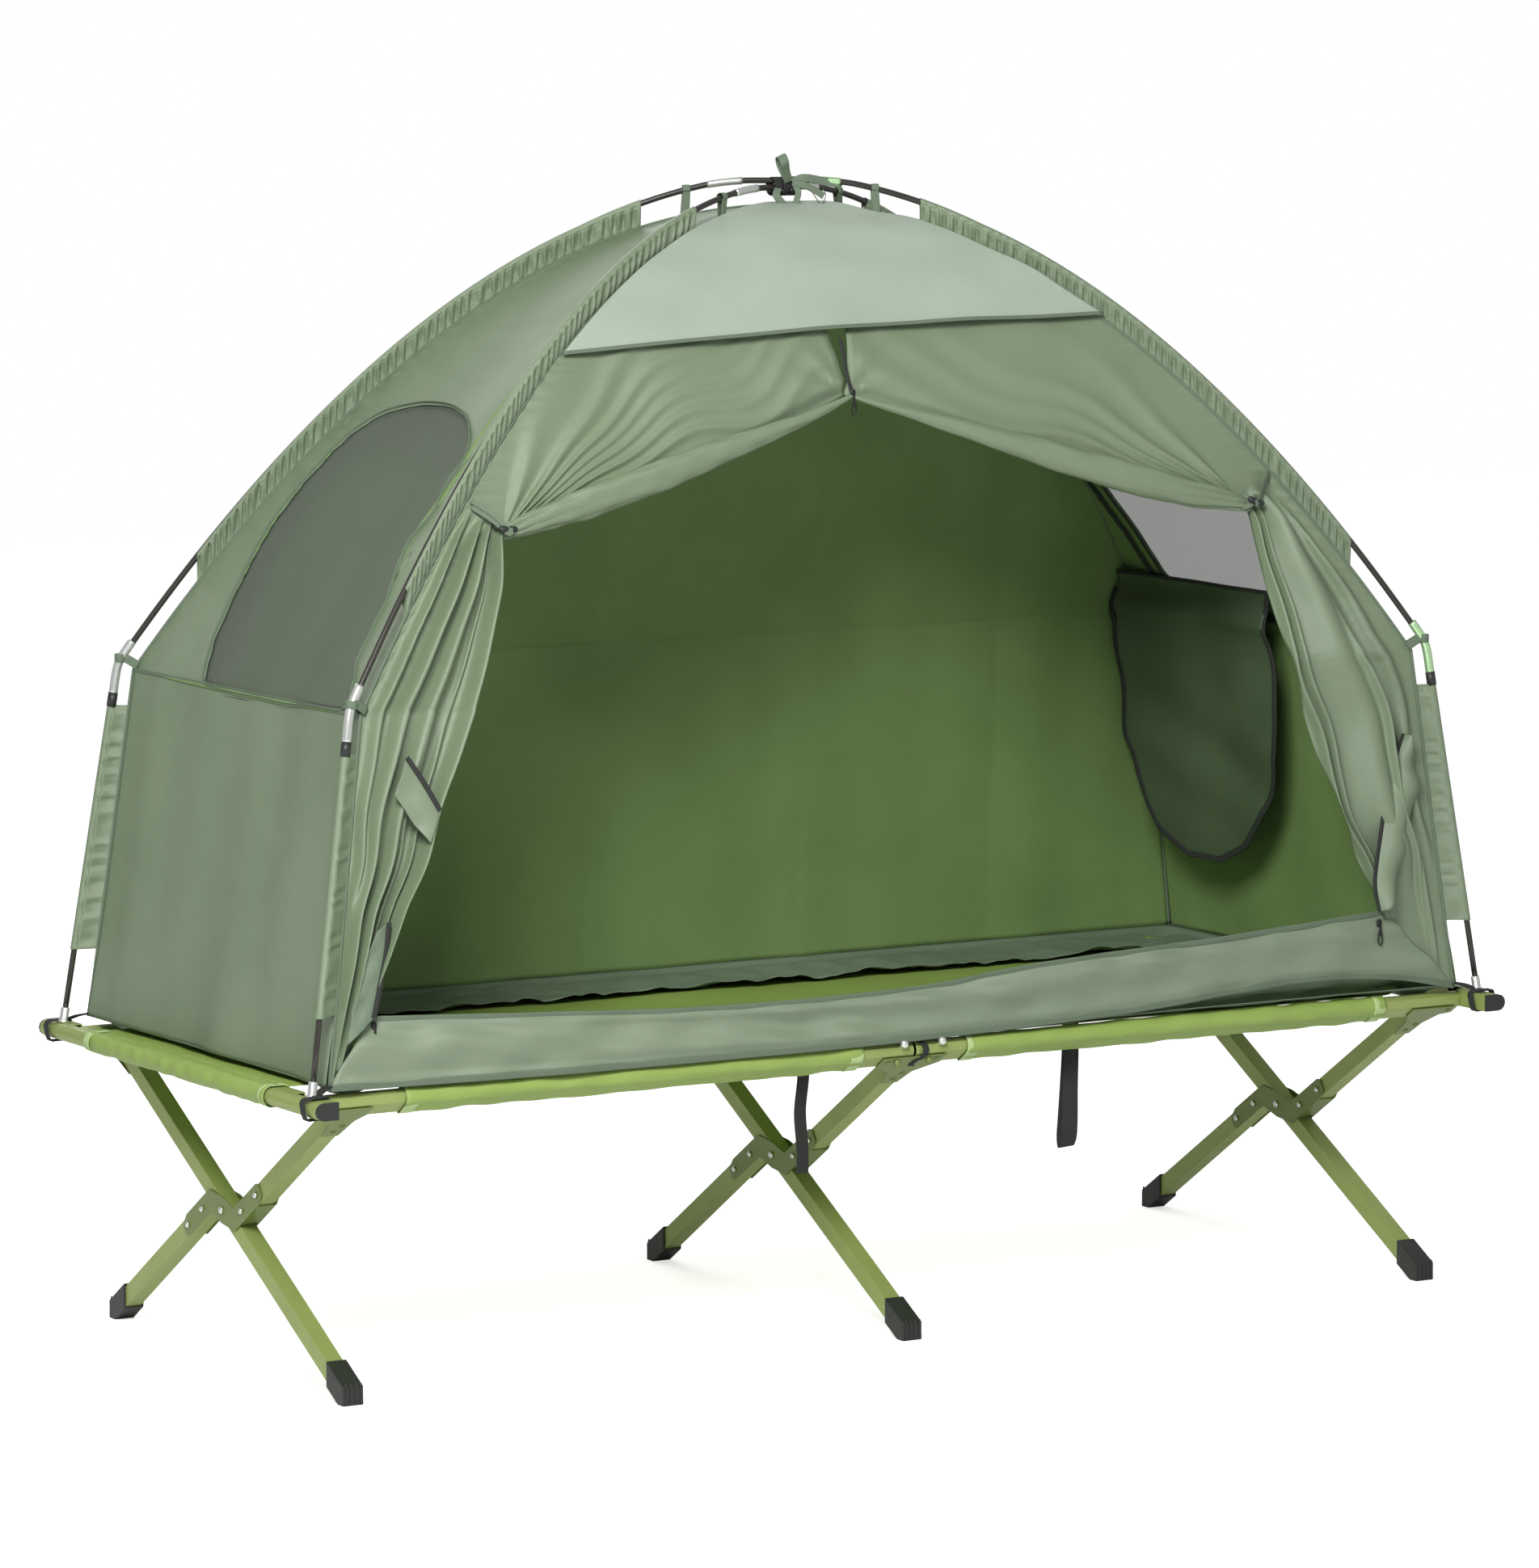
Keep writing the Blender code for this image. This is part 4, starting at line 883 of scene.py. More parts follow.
# %% Door rolls
ROLL_LEFT = [(-0.014, 1.314), (-0.100, 1.285), (-0.200, 1.257), (-0.300, 1.229), (-0.400, 1.203),
             (-0.500, 1.178), (-0.572, 1.160), (-0.606, 1.151)]
ROLL_RIGHT = [(-0.014, 1.312), (0.100, 1.279), (0.200, 1.249), (0.300, 1.219), (0.400, 1.190),
              (0.500, 1.164), (0.576, 1.147), (0.612, 1.139)]
ROLL_STEPS = 180
ROLL_TALL = [0.003, 0.009, 0.015, 0.020, 0.022, 0.020, 0.014, 0.009]
ROLL_DEEP = [0.003, 0.007, 0.010, 0.012, 0.013, 0.012, 0.010, 0.008]
for side, sign, route, seed in (("left", -1, ROLL_LEFT, 5), ("right", 1, ROLL_RIGHT, 8)):
    xz = smooth_path(route, ROLL_STEPS)
    tall = smooth_path(np.array(ROLL_TALL)[:, None], ROLL_STEPS)
    deep = smooth_path(np.array(ROLL_DEEP)[:, None], ROLL_STEPS)
    a = np.linspace(0, 2 * math.pi, 72, endpoint=False)[None, :]
    along = np.linspace(0, 1, ROLL_STEPS)[:, None]
    groove = 0.04 + 0.40 * fade(along, 0.62, 1.0)
    twist = a + 1.1 * along + 0.15 * ripple(along, a * 0, seed, 0.4)
    size = 1 - groove * (1 - pleat(3.5 * twist / math.pi)) + 0.05 * ripple(along, a * 0.1, seed + 1, 0.12)
    profile = np.stack([np.cos(a) * tall * size, np.sin(a) * deep * size], -1)
    path = wall_point("front", xz[:, 0], seam_s(xz[:, 1]), 0.003)
    piece("door_roll_" + side, path, profile, (0, 0, 1), sage_out)

# %% [markdown]
# ### Loose corners of the door
#
# Where the door is unzipped its cloth folds outwards at both lower corners. Each loose corner is
# a small sheet spanned between its zip and its free edge, puffed up off the wall in between.

# %% Loose corners
def loose_corner(name, zip_edge, free_edge, stand, puff, finish, seed):
    """A sheet between two rows of (x, z) on the front; stand is its height off the wall, puff its bulge."""
    first, last = smooth_path(zip_edge, 70), smooth_path(free_edge, 70)
    t = np.linspace(0, 1, 26)[:, None]
    x = loft(first[None, :, 0], last[None, :, 0], t)
    z = loft(first[None, :, 1], last[None, :, 1], t)
    away = stand + puff * np.sin(math.pi * t) + 0.004 * t * ripple(x, z, seed, 0.05)
    ob = surface(name, wall_point("front", x, seam_s(z), away), flat=np.stack([x, z], -1))
    cloth(ob, "tent", finish, sage_in_painted_bright)
    declare(ob)
    seam = wall_point("front", first[:, 0], seam_s(first[:, 1]), stand + 0.0014)
    piece(name + "_zip", seam, flat_band(0.0075, 0.0020), (1, 0, -0.5), zip_tape)


# this flap's outside takes the lighter sill nylon as painted light: it is the door's own sage cloth, lit
# from the left
loose_corner("turned_corner_left", [(-0.799, 0.868), (-0.776, 0.835), (-0.752, 0.795)],
             [(-0.820, 0.820), (-0.797, 0.788), (-0.768, 0.752)],
             0.024, 0.004, sill_and_lit_flap_nylon, 211)
# the low flap's outside takes the darker floor cloth as painted shade: it is the door's own cloth turned
# out, lying in shadow
loose_corner("low_corner_left", [(-0.828, 0.650), (-0.834, 0.608), (-0.846, 0.560), (-0.855, 0.524)],
             [(-0.846, 0.640), (-0.872, 0.590), (-0.886, 0.540), (-0.896, 0.492)], 0.014, 0.003,
             floor_and_shaded_flap_cloth, 223)
loose_corner("turned_corner_right",
             [(0.826, 0.806), (0.800, 0.744), (0.779, 0.649), (0.770, 0.592), (0.778, 0.552)],
             [(0.838, 0.802), (0.853, 0.737), (0.830, 0.674), (0.820, 0.628), (0.801, 0.560)], 0.016,
             0.012, sage_out, 227)

# %% [markdown]
# ### Awning, sill and binding
#
# A small awning is sewn in above the door, a finger's width in front of the wall. The sill
# below the door is the one strip that is slack: it sags and its hem lifts off the bed.

# %% Awning
t = np.linspace(-1, 1, 160)[None, :]
hem_z = 1.400 + 0.014 * t + 0.006 * np.cos(2.2 * t)
hem_s = seam_s(hem_z)
share = np.linspace(0, 1, 90)[:, None]
s = TOP_S + (hem_s - TOP_S) * share
x = t * CPH * s * 0.997
stand = 0.0065 + 0.0055 * share + 0.004 * share ** 3 * (1 - t ** 2) + 0.0016 * ripple(x, s, 71, 0.16)
awning_points = wall_point("front", x, s, stand - 0.010 * (1 - t * t) * fade(s, 0.15, 0.5))
top_sheet = surface("awning_sheet", awning_points, flat=wall_map("front", x, s))
# the awning's lighter colour is painted light on the tent's own sage cloth
cloth(top_sheet, "tent", lit_awning_nylon, sage_in_painted_bright, replaces=["awning"])
declare(top_sheet)
piece("awning_hem", awning_points[-1] - 0.0006 * BACKWARDS, flat_band(0.0012, 0.0055), (0, -1, 0.4),
      sage_tape)

# %% Door sill
SILL_TOP = [(-0.862, 0.522), (-0.580, 0.506), (-0.304, 0.494), (0.000, 0.497), (0.223, 0.516),
            (0.520, 0.530), (0.802, 0.548)]
SILL_HEM = [(-TENT_X, FLOOR_Z), (-0.600, 0.429), (-0.300, 0.428), (0.000, 0.430), (0.350, 0.441),
            (0.640, 0.462), (0.800, 0.456), (TENT_X, FLOOR_Z)]
top_row, hem_row = smooth_path(SILL_TOP, 260), smooth_path(SILL_HEM, 260)
b = np.linspace(0, 1, 34)[:, None]
x = loft(hem_row[None, :, 0], top_row[None, :, 0], b)
z = loft(hem_row[None, :, 1], top_row[None, :, 1], b)
wave = 0.0050 * np.sin(2 * math.pi * (1.15 * b + 0.30 * np.sin(2.4 * x + 0.6)))
wave = wave * fade(b, 0.04, 0.25) * fade(-b, -0.98, -0.75)
sag = wave + 0.006 * np.sin(math.pi * b) * ripple(x * 0.4, z * 3, 81, 0.30) + 0.002 * ripple(x, z * 2, 83,
                                                                                             0.10)
belly = 0.007 * np.sin(math.pi * b) - 0.004 * b
s = seam_s(np.clip(z, FLOOR_Z, None))
stand = (sag + belly) * fade(np.abs(x), TENT_X, TENT_X - 0.05)
dip = UP * np.minimum(z - FLOOR_Z, 0)[..., None]
sill = surface("door_sill", wall_point("front", x, s, stand + 0.0010) + dip)
cloth(sill, "tent", sill_and_lit_flap_nylon, sage_in_painted_bright)
declare(sill)
for name, row, wide in (("sill_binding", -1, 0.009), ("sill_hem", 0, 0.010)):
    path = (wall_point("front", x, s, stand + 0.0014) + dip)[row]
    piece(name, path, flat_band(0.0018, wide), (0, -1, 0), sage_tape)

# %% [markdown]
# ### Pole sleeves
#
# Each pole runs through a sleeve: cloth that rises from the seam, goes round the rod and comes
# back. Its cross-section is a keyhole. The cloth is longer than the pole, so it ruffles in
# folds square to the rod.


# %% Sleeve cross-section carried along a corner
def diagonal(corner):
    """The level direction from the middle to a corner, and the one square to it."""
    sx, sy = CORNERS[corner]
    out = np.array([sx * CPH, sy * SPH, 0.0])
    return out, np.array([-out[1], out[0], 0.0])


def corner_path(out, s, z):
    """Matching rows of distance and height as points in the upright plane of a corner."""
    return out * s[:, None] + UP * z[:, None]


def low_rod_s(z):
    """The lower rod leans in a little from its pin to the elbow."""
    return PIN_S - (PIN_S - ELBOW_S) * (z - BAR_TOP) / (ELBOW_Z - BAR_TOP)


NECK = 2.2                                      # half the turn of the cloth round the rod, in radians


def sleeve(name, corner, rod, seam, seed, wave, ruffle):
    """rod and seam are matching rows of (s, z): the cloth goes up one side, round the rod and down."""
    out, aside = diagonal(corner)
    inward = unit(seam - rod)
    gap = np.linalg.norm(seam - rod, axis=1)
    along = lengths(rod[None], 1)[0]
    r = ROD + 0.0017
    lip = np.linspace(1, 0, 12)
    a = np.linspace(-NECK, NECK, 15)
    start = r * math.cos(NECK)
    down = np.concatenate([lip, np.zeros(15), lip[::-1]])
    reach = -start + down[None] * (gap[:, None] + start - 0.0004)
    reach[:, 12:27] = -r * np.cos(a)[None]
    flank = 0.0006 + (r * math.sin(NECK) - 0.0006) * (1 - lip) ** 2
    side = np.concatenate([-flank, r * np.sin(a), flank[::-1]])
    side = np.broadcast_to(side[None], reach.shape).copy()
    beat = 2 * math.pi * along / wave + 1.8 * ripple(along, 0 * along, seed, 0.09)
    lean = np.clip(reach / np.maximum(gap[:, None], 1e-6), 0, 1)
    belly = np.sin(math.pi * lean) ** 0.8
    side += ruffle * np.sin(beat + 0.6 * ripple(along, along * 0, seed + 3, 0.2))[:, None] * belly
    side += 0.35 * ruffle * np.sin(2.3 * beat)[:, None] * belly
    swell = 1 + 0.10 * np.sin(beat)[:, None] * (np.abs(side) > 0.002)
    points = rod[:, None] + inward[:, None] * reach[..., None]
    points = out[None, None] * points[..., :1] + UP * points[..., 1:] + aside * (side * swell)[..., None]
    ob = surface(name, points, away=out * rod[len(rod) // 2, 0] * 0.5 + 0.6 * UP)
    cloth(ob, "tent", sage_out, thick=0.0005)
    declare(ob)


# %% Eight sleeves
SLEEVE_TOP, SLEEVE_LOW = 0.20, 0.83
for number, corner in enumerate(CORNERS):
    s = np.linspace(SLEEVE_TOP, SLEEVE_LOW, 420)
    rod = np.stack([s, arch_z(s, RIDES_OVER[corner])], -1)
    seam = np.stack([s, seam_z(s) + 0.001], -1)
    sleeve("pole_sleeve_" + corner, corner, rod, seam, 91 + number, 0.0165, 0.0032)
    z = np.linspace(0.530, 0.875, 160)
    rod = np.stack([low_rod_s(z), z], -1)
    seam = np.stack([seam_s(z), z], -1)
    sleeve("corner_sleeve_" + corner, corner, rod, seam, 97 + number, 0.030, 0.0012)
print("sleeves made for", len(CORNERS), "corners")

# %% [markdown]
# ### Poles, elbows and ferrules
#
# The rods are smooth round fibre, with plated tubes where they bend and where two lengths meet.

# %% Long poles
for pole, corner in (("a", "back_right"), ("b", "front_right")):
    out, aside = diagonal(corner)
    upper = RIDES_OVER[corner]
    s = np.linspace(-0.935, 0.935, 260)
    piece("pole_rod_" + pole, corner_path(out, s, arch_z(s, upper)), circle(ROD, 16), aside,
          rod_finish, replaces=["pole_arch_" + pole])
    near_metal = green_steel if pole == "b" else steel
    for number, (start, end, metal) in enumerate(((-0.105, -0.055, steel), (0.045, 0.085, near_metal))):
        s = np.linspace(start, end, 12)
        piece("pole_ferrule_%s_%d" % (pole, number), corner_path(out, s, arch_z(s, upper)),
              circle(ROD + 0.0012, 18),
              aside, metal)

print("poles are", round(2000 * ROD, 1), "mm thick")

# %% Lower rods, their sockets and the elbows
SOCKET_RISE = np.array([0.0004, 0.003, 0.004, 0.021, 0.022])
SOCKET_GIRTH = np.array([0.0078, 0.0078, 0.0062, 0.0062, 0.0048])
COLLAR_Z = np.array([0.874, 0.893])
for corner in CORNERS:
    out, aside = diagonal(corner)
    z = np.linspace(BAR_TOP + 0.0205, ELBOW_Z - 0.014, 12)
    piece("lower_pole_" + corner, corner_path(out, low_rod_s(z), z), circle(ROD, 16), aside,
          rod_finish, replaces=["lower_rod_" + corner])
    z = BAR_TOP + SOCKET_RISE
    piece("pin_socket_" + corner, corner_path(out, low_rod_s(z), z), spun(SOCKET_GIRTH, 20), aside,
          steel)
    bend = [(low_rod_s(ELBOW_Z - 0.042), ELBOW_Z - 0.042), (low_rod_s(ELBOW_Z - 0.010), ELBOW_Z - 0.010),
            (ELBOW_S - 0.0045, ELBOW_Z + 0.007), (ELBOW_S - 0.021, ELBOW_Z + 0.0315)]
    curve = smooth_path(bend, 26)
    piece("elbow_tube_" + corner, corner_path(out, curve[:, 0], curve[:, 1]), circle(0.0064, 20), aside,
          green_steel if corner == "front_right" else steel, replaces=["elbow_" + corner])
    piece("elbow_collar_" + corner, corner_path(out, low_rod_s(COLLAR_Z), COLLAR_Z), circle(0.0069, 18),
          aside,
          black_plastic)
print("poles, sockets, elbows and collars made for", len(CORNERS), "corners")

# %% [markdown]
# ### Corner bindings
#
# Four long seams hold the walls together. Each is bound with a narrow tape, which closes the
# corner from inside and out.

# %% Corner bindings
for corner in CORNERS:
    out, aside = diagonal(corner)
    s = np.concatenate([np.linspace(TOP_S, SEAM_S, 150), np.linspace(SEAM_S, FLOOR_S, 50)[1:]])
    piece("corner_binding_" + corner, corner_path(out, s, seam_z(s)), flat_band(0.0050, 0.0042), aside,
          sage_tape)
print("bindings:", len(CORNERS))

# %% [markdown]
# ### Inside the tent
#
# A dark border of floor cloth runs round the bed, and the far window's cover hangs unzipped.
# Both are loose sheets, so both get waves.

# %% Floor border
INNER_X, INNER_Y = 0.735, 0.190
a = np.linspace(0, 4, 481)[:-1]
side_of, part_of = a.astype(int), a % 1.0
corner_x = np.array([-1, 1, 1, -1, -1.0])
corner_y = np.array([-1, -1, 1, 1, -1.0])
ring_x = loft(corner_x[side_of], corner_x[side_of + 1], part_of)
ring_y = loft(corner_y[side_of], corner_y[side_of + 1], part_of)
b = np.linspace(0, 1, 26)[:, None]
x = ring_x * ((TENT_X - 0.004) * (1 - b) + INNER_X * b)
y = ring_y * ((TENT_Y - 0.004) * (1 - b) + INNER_Y * b)
crumple = np.abs(ripple(x, y, 111, 0.16)) * 0.0045 + np.abs(ripple(x, y, 113, 0.06)) * 0.0016
inner_lip = 0.006 * fade(b, 0.75, 1.0) * np.abs(ripple(x, y, 117, 0.09))
rise = crumple * fade(b, 0.0, 0.25) + inner_lip - 0.0080 * fade(b, 0.0, 0.12)
by_hem = fade(np.abs(y), 0.288, 0.305) * fade(-np.abs(y), -0.350, -0.335)
rise = rise - 0.012 * fade(np.abs(x), 0.82, 0.87) * by_hem * fade(b, 0.05, 0.20)
border_points = np.stack([x, y, FLOOR_Z + 0.0012 + rise], -1)
border = surface("floor_cloth", border_points, ring_cols=True, away=(0, 0, -2), flat=np.stack([x, y], -1))
cloth(border, "tent", floor_and_shaded_flap_cloth, replaces=["floor_border"])
declare(border)

# %% Far window cover
COVER_BACK = [(0.366, 0.990), (0.366, 0.830), (0.340, 0.770), (0.306, 0.724), (0.282, 0.660),
              (0.250, 0.605), (0.180, 0.573)]
COVER_FRONT = [(-0.090, 0.990), (-0.094, 0.860), (-0.088, 0.776), (-0.054, 0.690), (0.000, 0.625),
               (0.050, 0.590), (0.097, 0.573)]
LIMIT_Y = 0.318                                 # clear of the back wall
COVER_TOP, COVER_LOW = 0.990, 0.5732
rows = np.linspace(COVER_TOP, COVER_LOW, 90)
edge_b, edge_f = smooth_path(COVER_BACK, 200), smooth_path(COVER_FRONT, 200)
y_b = np.minimum(np.interp(-rows, -edge_b[:, 1], edge_b[:, 0]), LIMIT_Y)
y_f = np.interp(-rows, -edge_f[:, 1], edge_f[:, 0])
t = np.linspace(0, 1, 60)[None, :]
y = loft(y_f[:, None], y_b[:, None], t)
z = rows[:, None] + 0 * y
drop = COVER_TOP - z
waves = 0.0035 * ripple(y, z, 121, 0.16) + 0.004 * np.sin(9 * y + 3 * drop)
x = CPH * seam_s(z) - 0.030 - 0.045 * fade(drop, 0.0, 0.06) + waves
cover_points = np.stack([x, y, z], -1)
cover = surface("window_cover", cover_points, away=(3, 0, 0.9), flat=np.stack([y, z], -1))
cloth(cover, "tent", cover_cloth, replaces=["window_flap_right"])
declare(cover)
rim = np.concatenate([cover_points[::2, 0], cover_points[-1, 1::4], cover_points[::-2, -1]])
rim = smooth_path(rim[::3], 200)
piece("cover_zip", rim, flat_band(0.0020, 0.0110), RIGHT, zip_tape)
top_edge = cover_points[0] + [-0.0004, 0, 0.001]
piece("cover_top_edge", top_edge, flat_band(0.0018, 0.0060), RIGHT, zip_tape)

# %% [markdown]
# ## The bed cloth
#
# Tight cloth spans the rails. Its long edges are tunnels round the rails and its ends are
# sleeves round the end bars; a pale band of tape finishes each tunnel.

# %% Tunnels and sleeves
PIVOT_Z = 0.211
RAIL_Y, RAIL_Z = 0.352, 0.4085
BAR_W, BAR_H = BAR_X1 - BAR_X0, BAR_TOP - BAR_LOW
BAR_X = (BAR_X0 + BAR_X1) / 2
LEG_OFF = 0.0265                                # a split leg runs this far beside the whole one
ANG_BACK = math.atan2(RAIL_Z - PIVOT_Z, RAIL_Y)
ANG_FRONT = ANG_BACK + math.asin(LEG_OFF / math.hypot(RAIL_Z - PIVOT_Z, RAIL_Y))
SIDES = (("front", -1), ("back", 1))
ENDS = (("left", -1), ("right", 1))


def rail_tilt(sign):
    """Two directions of a rail and its legs, front (-1) or back (1): outwards along the leg, and up."""
    angle = ANG_FRONT if sign < 0 else ANG_BACK
    c, s = math.cos(angle), math.sin(angle)
    return np.array([0, sign * c, s]), np.array([0, -sign * s, c])


def nose_profile(grow):
    """The D of the tube, grown by a cloth's thickness: flat on one side, a half round on the other."""
    r = BAR_H / 2 + grow
    flat_x, round_x = -BAR_W / 2 - grow, BAR_W / 2 - BAR_H / 2
    corner = 0.003

    def arc(start, end, centre, radius, count):
        """Part of a circle between two angles."""
        a = np.linspace(start, end, count)
        return np.array(centre) + radius * np.stack([np.cos(a), np.sin(a)], -1)

    bow = arc(-math.pi / 2, math.pi / 2, (round_x, 0), r, 30)
    top = np.stack([np.linspace(round_x, flat_x + corner, 12)[1:], np.full(11, r)], -1)
    turn = arc(math.pi / 2, math.pi, (flat_x + corner, r - corner), corner, 6)[1:]
    wall = np.stack([np.full(9, flat_x), np.linspace(r - corner, -r + corner, 10)[1:]], -1)
    under = arc(math.pi, 1.5 * math.pi, (flat_x + corner, -r + corner), corner, 6)[1:]
    bottom = np.stack([np.linspace(flat_x + corner, round_x, 12)[1:-1], np.full(10, -r)], -1)
    return np.concatenate([bow, top, turn, wall, under, bottom])


def wrap(name, centre, tilt, along, start, end, grow, finish, body, seed, wrinkle=0.0, rows=8):
    """Cloth round a tube: the grown D carried along it from start to end, swelling in small wrinkles."""
    p = nose_profile(grow)[None]
    walked = np.linspace(start, end, rows)[:, None, None]
    scale = 1 + wrinkle * (1 + ripple(walked, p[..., :1] * 3, seed, 0.06)) * 0.5 / 0.014
    points = centre + tilt[0] * (p[..., :1] * scale) + tilt[1] * (p[..., 1:] * scale) + along * walked
    ob = surface(name, points, ring_cols=True, away=centre + along * (start + end) / 2)
    cloth(ob, body, finish, thick=0.0005)


# %% Tunnels on the rails
TUNNEL_IN, TUNNEL_OUT, BAND = 0.085, 0.800, 0.020
UNDER, OVER = 0.0013, 0.0026                    # the lime cloth and the tape over it stand off the tube
for side, sign in SIDES:
    centre, tilt, body = np.array([0, sign * RAIL_Y, RAIL_Z]), rail_tilt(sign), side + "_frame"
    for tag, sx in ENDS:
        wrap("rail_tunnel_%s_%s" % (side, tag), centre, tilt, RIGHT, sx * TUNNEL_IN, sx * TUNNEL_OUT,
             UNDER, lime_cloth, body, 131 + sign, 0.0014, 160)
        for number, at in enumerate((TUNNEL_IN, TUNNEL_OUT - BAND)):
            wrap("rail_band_%s_%s_%d" % (side, tag, number), centre, tilt, RIGHT, sx * at, sx * (at + BAND),
                 OVER, band_cloth, body, 131 + sign)

print("tunnels from", TUNNEL_IN, "to", TUNNEL_OUT, "m on each rail")

# %% Sleeves on the end bars
SLEEVE_HALF, END_BAND = 0.280, 0.018
for tag, sx in ENDS:
    centre, body = np.array([sx * BAR_X, 0, (BAR_TOP + BAR_LOW) / 2]), tag + "_end"
    tilt = (sx * RIGHT, UP)
    wrap("end_sleeve_" + tag, centre, tilt, BACKWARDS, -SLEEVE_HALF, SLEEVE_HALF, UNDER, lime_cloth, body,
         141 + sx, 0.0016, 120)
    for number, at in enumerate((-SLEEVE_HALF, SLEEVE_HALF - END_BAND)):
        wrap("end_band_%s_%d" % (tag, number), centre, tilt, BACKWARDS, at, at + END_BAND, OVER,
             band_cloth, body,
             141 + sx)
print("end sleeves are", 2 * SLEEVE_HALF, "m long")

# %% Bed sheet
SHEET_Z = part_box("bed_fabric")[1].z - 0.0004
u = np.linspace(-1, 1, 260)[None, :]
v = np.linspace(-1, 1, 90)[:, None]
x = u * (BAR_X0 + 0.004)
half = RAIL_Y + 0.004 - 0.069 * fade(np.abs(x), TUNNEL_OUT,
                                     0.90) - 0.026 * (1 - fade(np.abs(x), 0.05, TUNNEL_IN))
y = v * half
z = SHEET_Z - 0.0045 * (1 - v ** 2) * (1 - u ** 6) + 0.0008 * ripple(x, y, 151, 0.20)
x = x + 0 * v
bed_sheet = surface("bed_cover", np.stack([x, y, z], -1), away=(0, 0, -2), flat=np.stack([x, y], -1))
bed_sheet.data.materials.append(lime_cloth)
sheet_wall = bed_sheet.modifiers.new("cloth thickness", "SOLIDIFY")
sheet_wall.thickness = 0.0010
sheet_wall.offset = -1.0
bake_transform(bed_sheet)
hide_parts("bed_fabric")
declare(bed_sheet)

# %% [markdown]
# ## Straps, ties and toggles
#
# Small soft things say most about how a tent is used: loops that hold the wall to the pole,
# toggles that tie the door back, a ribbon knotted round the crossing.


# %% Straps
def strap(name, points, width, thick, across, finish, body="tent", rows=60, replaces=()):
    """An open strap: a flat band along a smooth curve through a few points."""
    piece(name, smooth_path(points, rows), flat_band(width, thick), across, finish, body, False,
          replaces)


def band_ring(name, points, width, thick, across, finish, body="tent"):
    """A closed strap along the points of a ring."""
    piece(name, points, flat_band(width, thick), across, finish, body, True)


def turn(count):
    """Evenly spaced angles of one full turn, as a column."""
    return np.linspace(0, 2 * math.pi, count, endpoint=False)[:, None]


# %% Loops round the poles
LOOP_Z, LOOP_SEAM_Z, CROWN_S = 0.942, 0.931, 0.135
for corner in CORNERS:
    out, aside = diagonal(corner)
    a = np.linspace(-2.5, 2.5, 9)[:, None]
    bend = out * (ELBOW_S - 0.004 + 0.0078 * np.cos(a)) + aside * 0.0078 * np.sin(a) + UP * LOOP_Z
    root = out * (seam_s(LOOP_SEAM_Z) - 0.002) + UP * LOOP_SEAM_Z
    strap("elbow_loop_" + corner, np.concatenate([[root - aside * 0.006], bend, [root + aside * 0.006]]),
          0.012, 0.0012, UP, sage_tape)
    z_rod, z_seam = float(arch_z(CROWN_S, RIDES_OVER[corner])), float(seam_z(CROWN_S + 0.006))
    a = np.linspace(-2.4, 2.4, 9)[:, None]
    bend = out * CROWN_S + UP * (z_rod + 0.0062 * np.cos(a)) + aside * 0.0062 * np.sin(a)
    first = out * (CROWN_S + 0.003) - aside * 0.0022 + UP * z_seam
    last = out * (CROWN_S + 0.001) + aside * 0.0022 + UP * z_seam
    strap("crown_loop_" + corner, np.concatenate([[first], bend, [last]]), 0.011, 0.0012, out, sage_tape)
print("loops:", 2 * len(CORNERS))

# %% Ribbon knotted round the crossing
KNOT = np.array([0.004, -0.012, TOP_Z + 0.004])
FACE = np.array([0.86, -0.51, 0.0])             # level direction square to the door side's corner view
# each ribbon: its points from the knot, width, thickness, the direction of its width and its steps
RIBBONS = {
    "loop": ([(0.000, -0.004, 0.000), (-0.008, -0.010, 0.014), (-0.015, -0.018, 0.028),
              (-0.016, -0.012, 0.037),
              (-0.012, 0.002, 0.036), (-0.006, 0.006, 0.022), (0.001, -0.002, 0.002)],
             0.013, 0.0010, FACE + [0, 0.25, 0.45], 50),
    "end_long": ([(0.002, -0.010, 0.0), (0.018, -0.016, 0.006), (0.050, -0.018, 0.001),
                  (0.078, -0.020, -0.004)],
                 0.012, 0.0010, (0.10, 0.25, 1.0), 40),
    "end_low": ([(0.000, -0.014, 0.0), (0.016, -0.020, -0.004), (0.034, -0.024, -0.013),
                 (0.044, -0.026, -0.020)],
                0.010, 0.0010, (0.45, 0.1, 0.8), 40),
    "drop_front": ([(0.004, -0.014, -0.002), (0.006, -0.020, -0.014), (0.002, -0.022, -0.026),
                    (0.000, -0.024, -0.038)],
                   0.009, 0.0010, FACE, 30),
    "drop_side": ([(0.026, -0.016, -0.006), (0.032, -0.020, -0.018), (0.042, -0.022, -0.030),
                   (0.050, -0.022, -0.020), (0.046, -0.022, -0.010)], 0.008, 0.0010, (0.5, 0.8, 0.1), 40),
    "drop_dark": ([(-0.020, -0.008, -0.008), (-0.026, -0.014, -0.018), (-0.018, -0.018, -0.030),
                   (-0.014, -0.020, -0.038)], 0.011, 0.0012, FACE, 30)}
for name, (points, width, thick, across, rows) in RIBBONS.items():
    strap("ribbon_" + name, KNOT + np.array(points), width, thick, across, sage_tape, rows=rows)
knot_ring = KNOT + [0, 0.012,
                    -0.006] + BACKWARDS * 0.0135 * np.cos(turn(40)) + UP * 0.0125 * np.sin(turn(40))
for number, at in enumerate((-0.014, 0.0, 0.014)):
    band_ring("knot_wrap_%d" % number, knot_ring + at * RIGHT, 0.013, 0.0022, RIGHT, webbing)
print("ribbons:", len(RIBBONS))

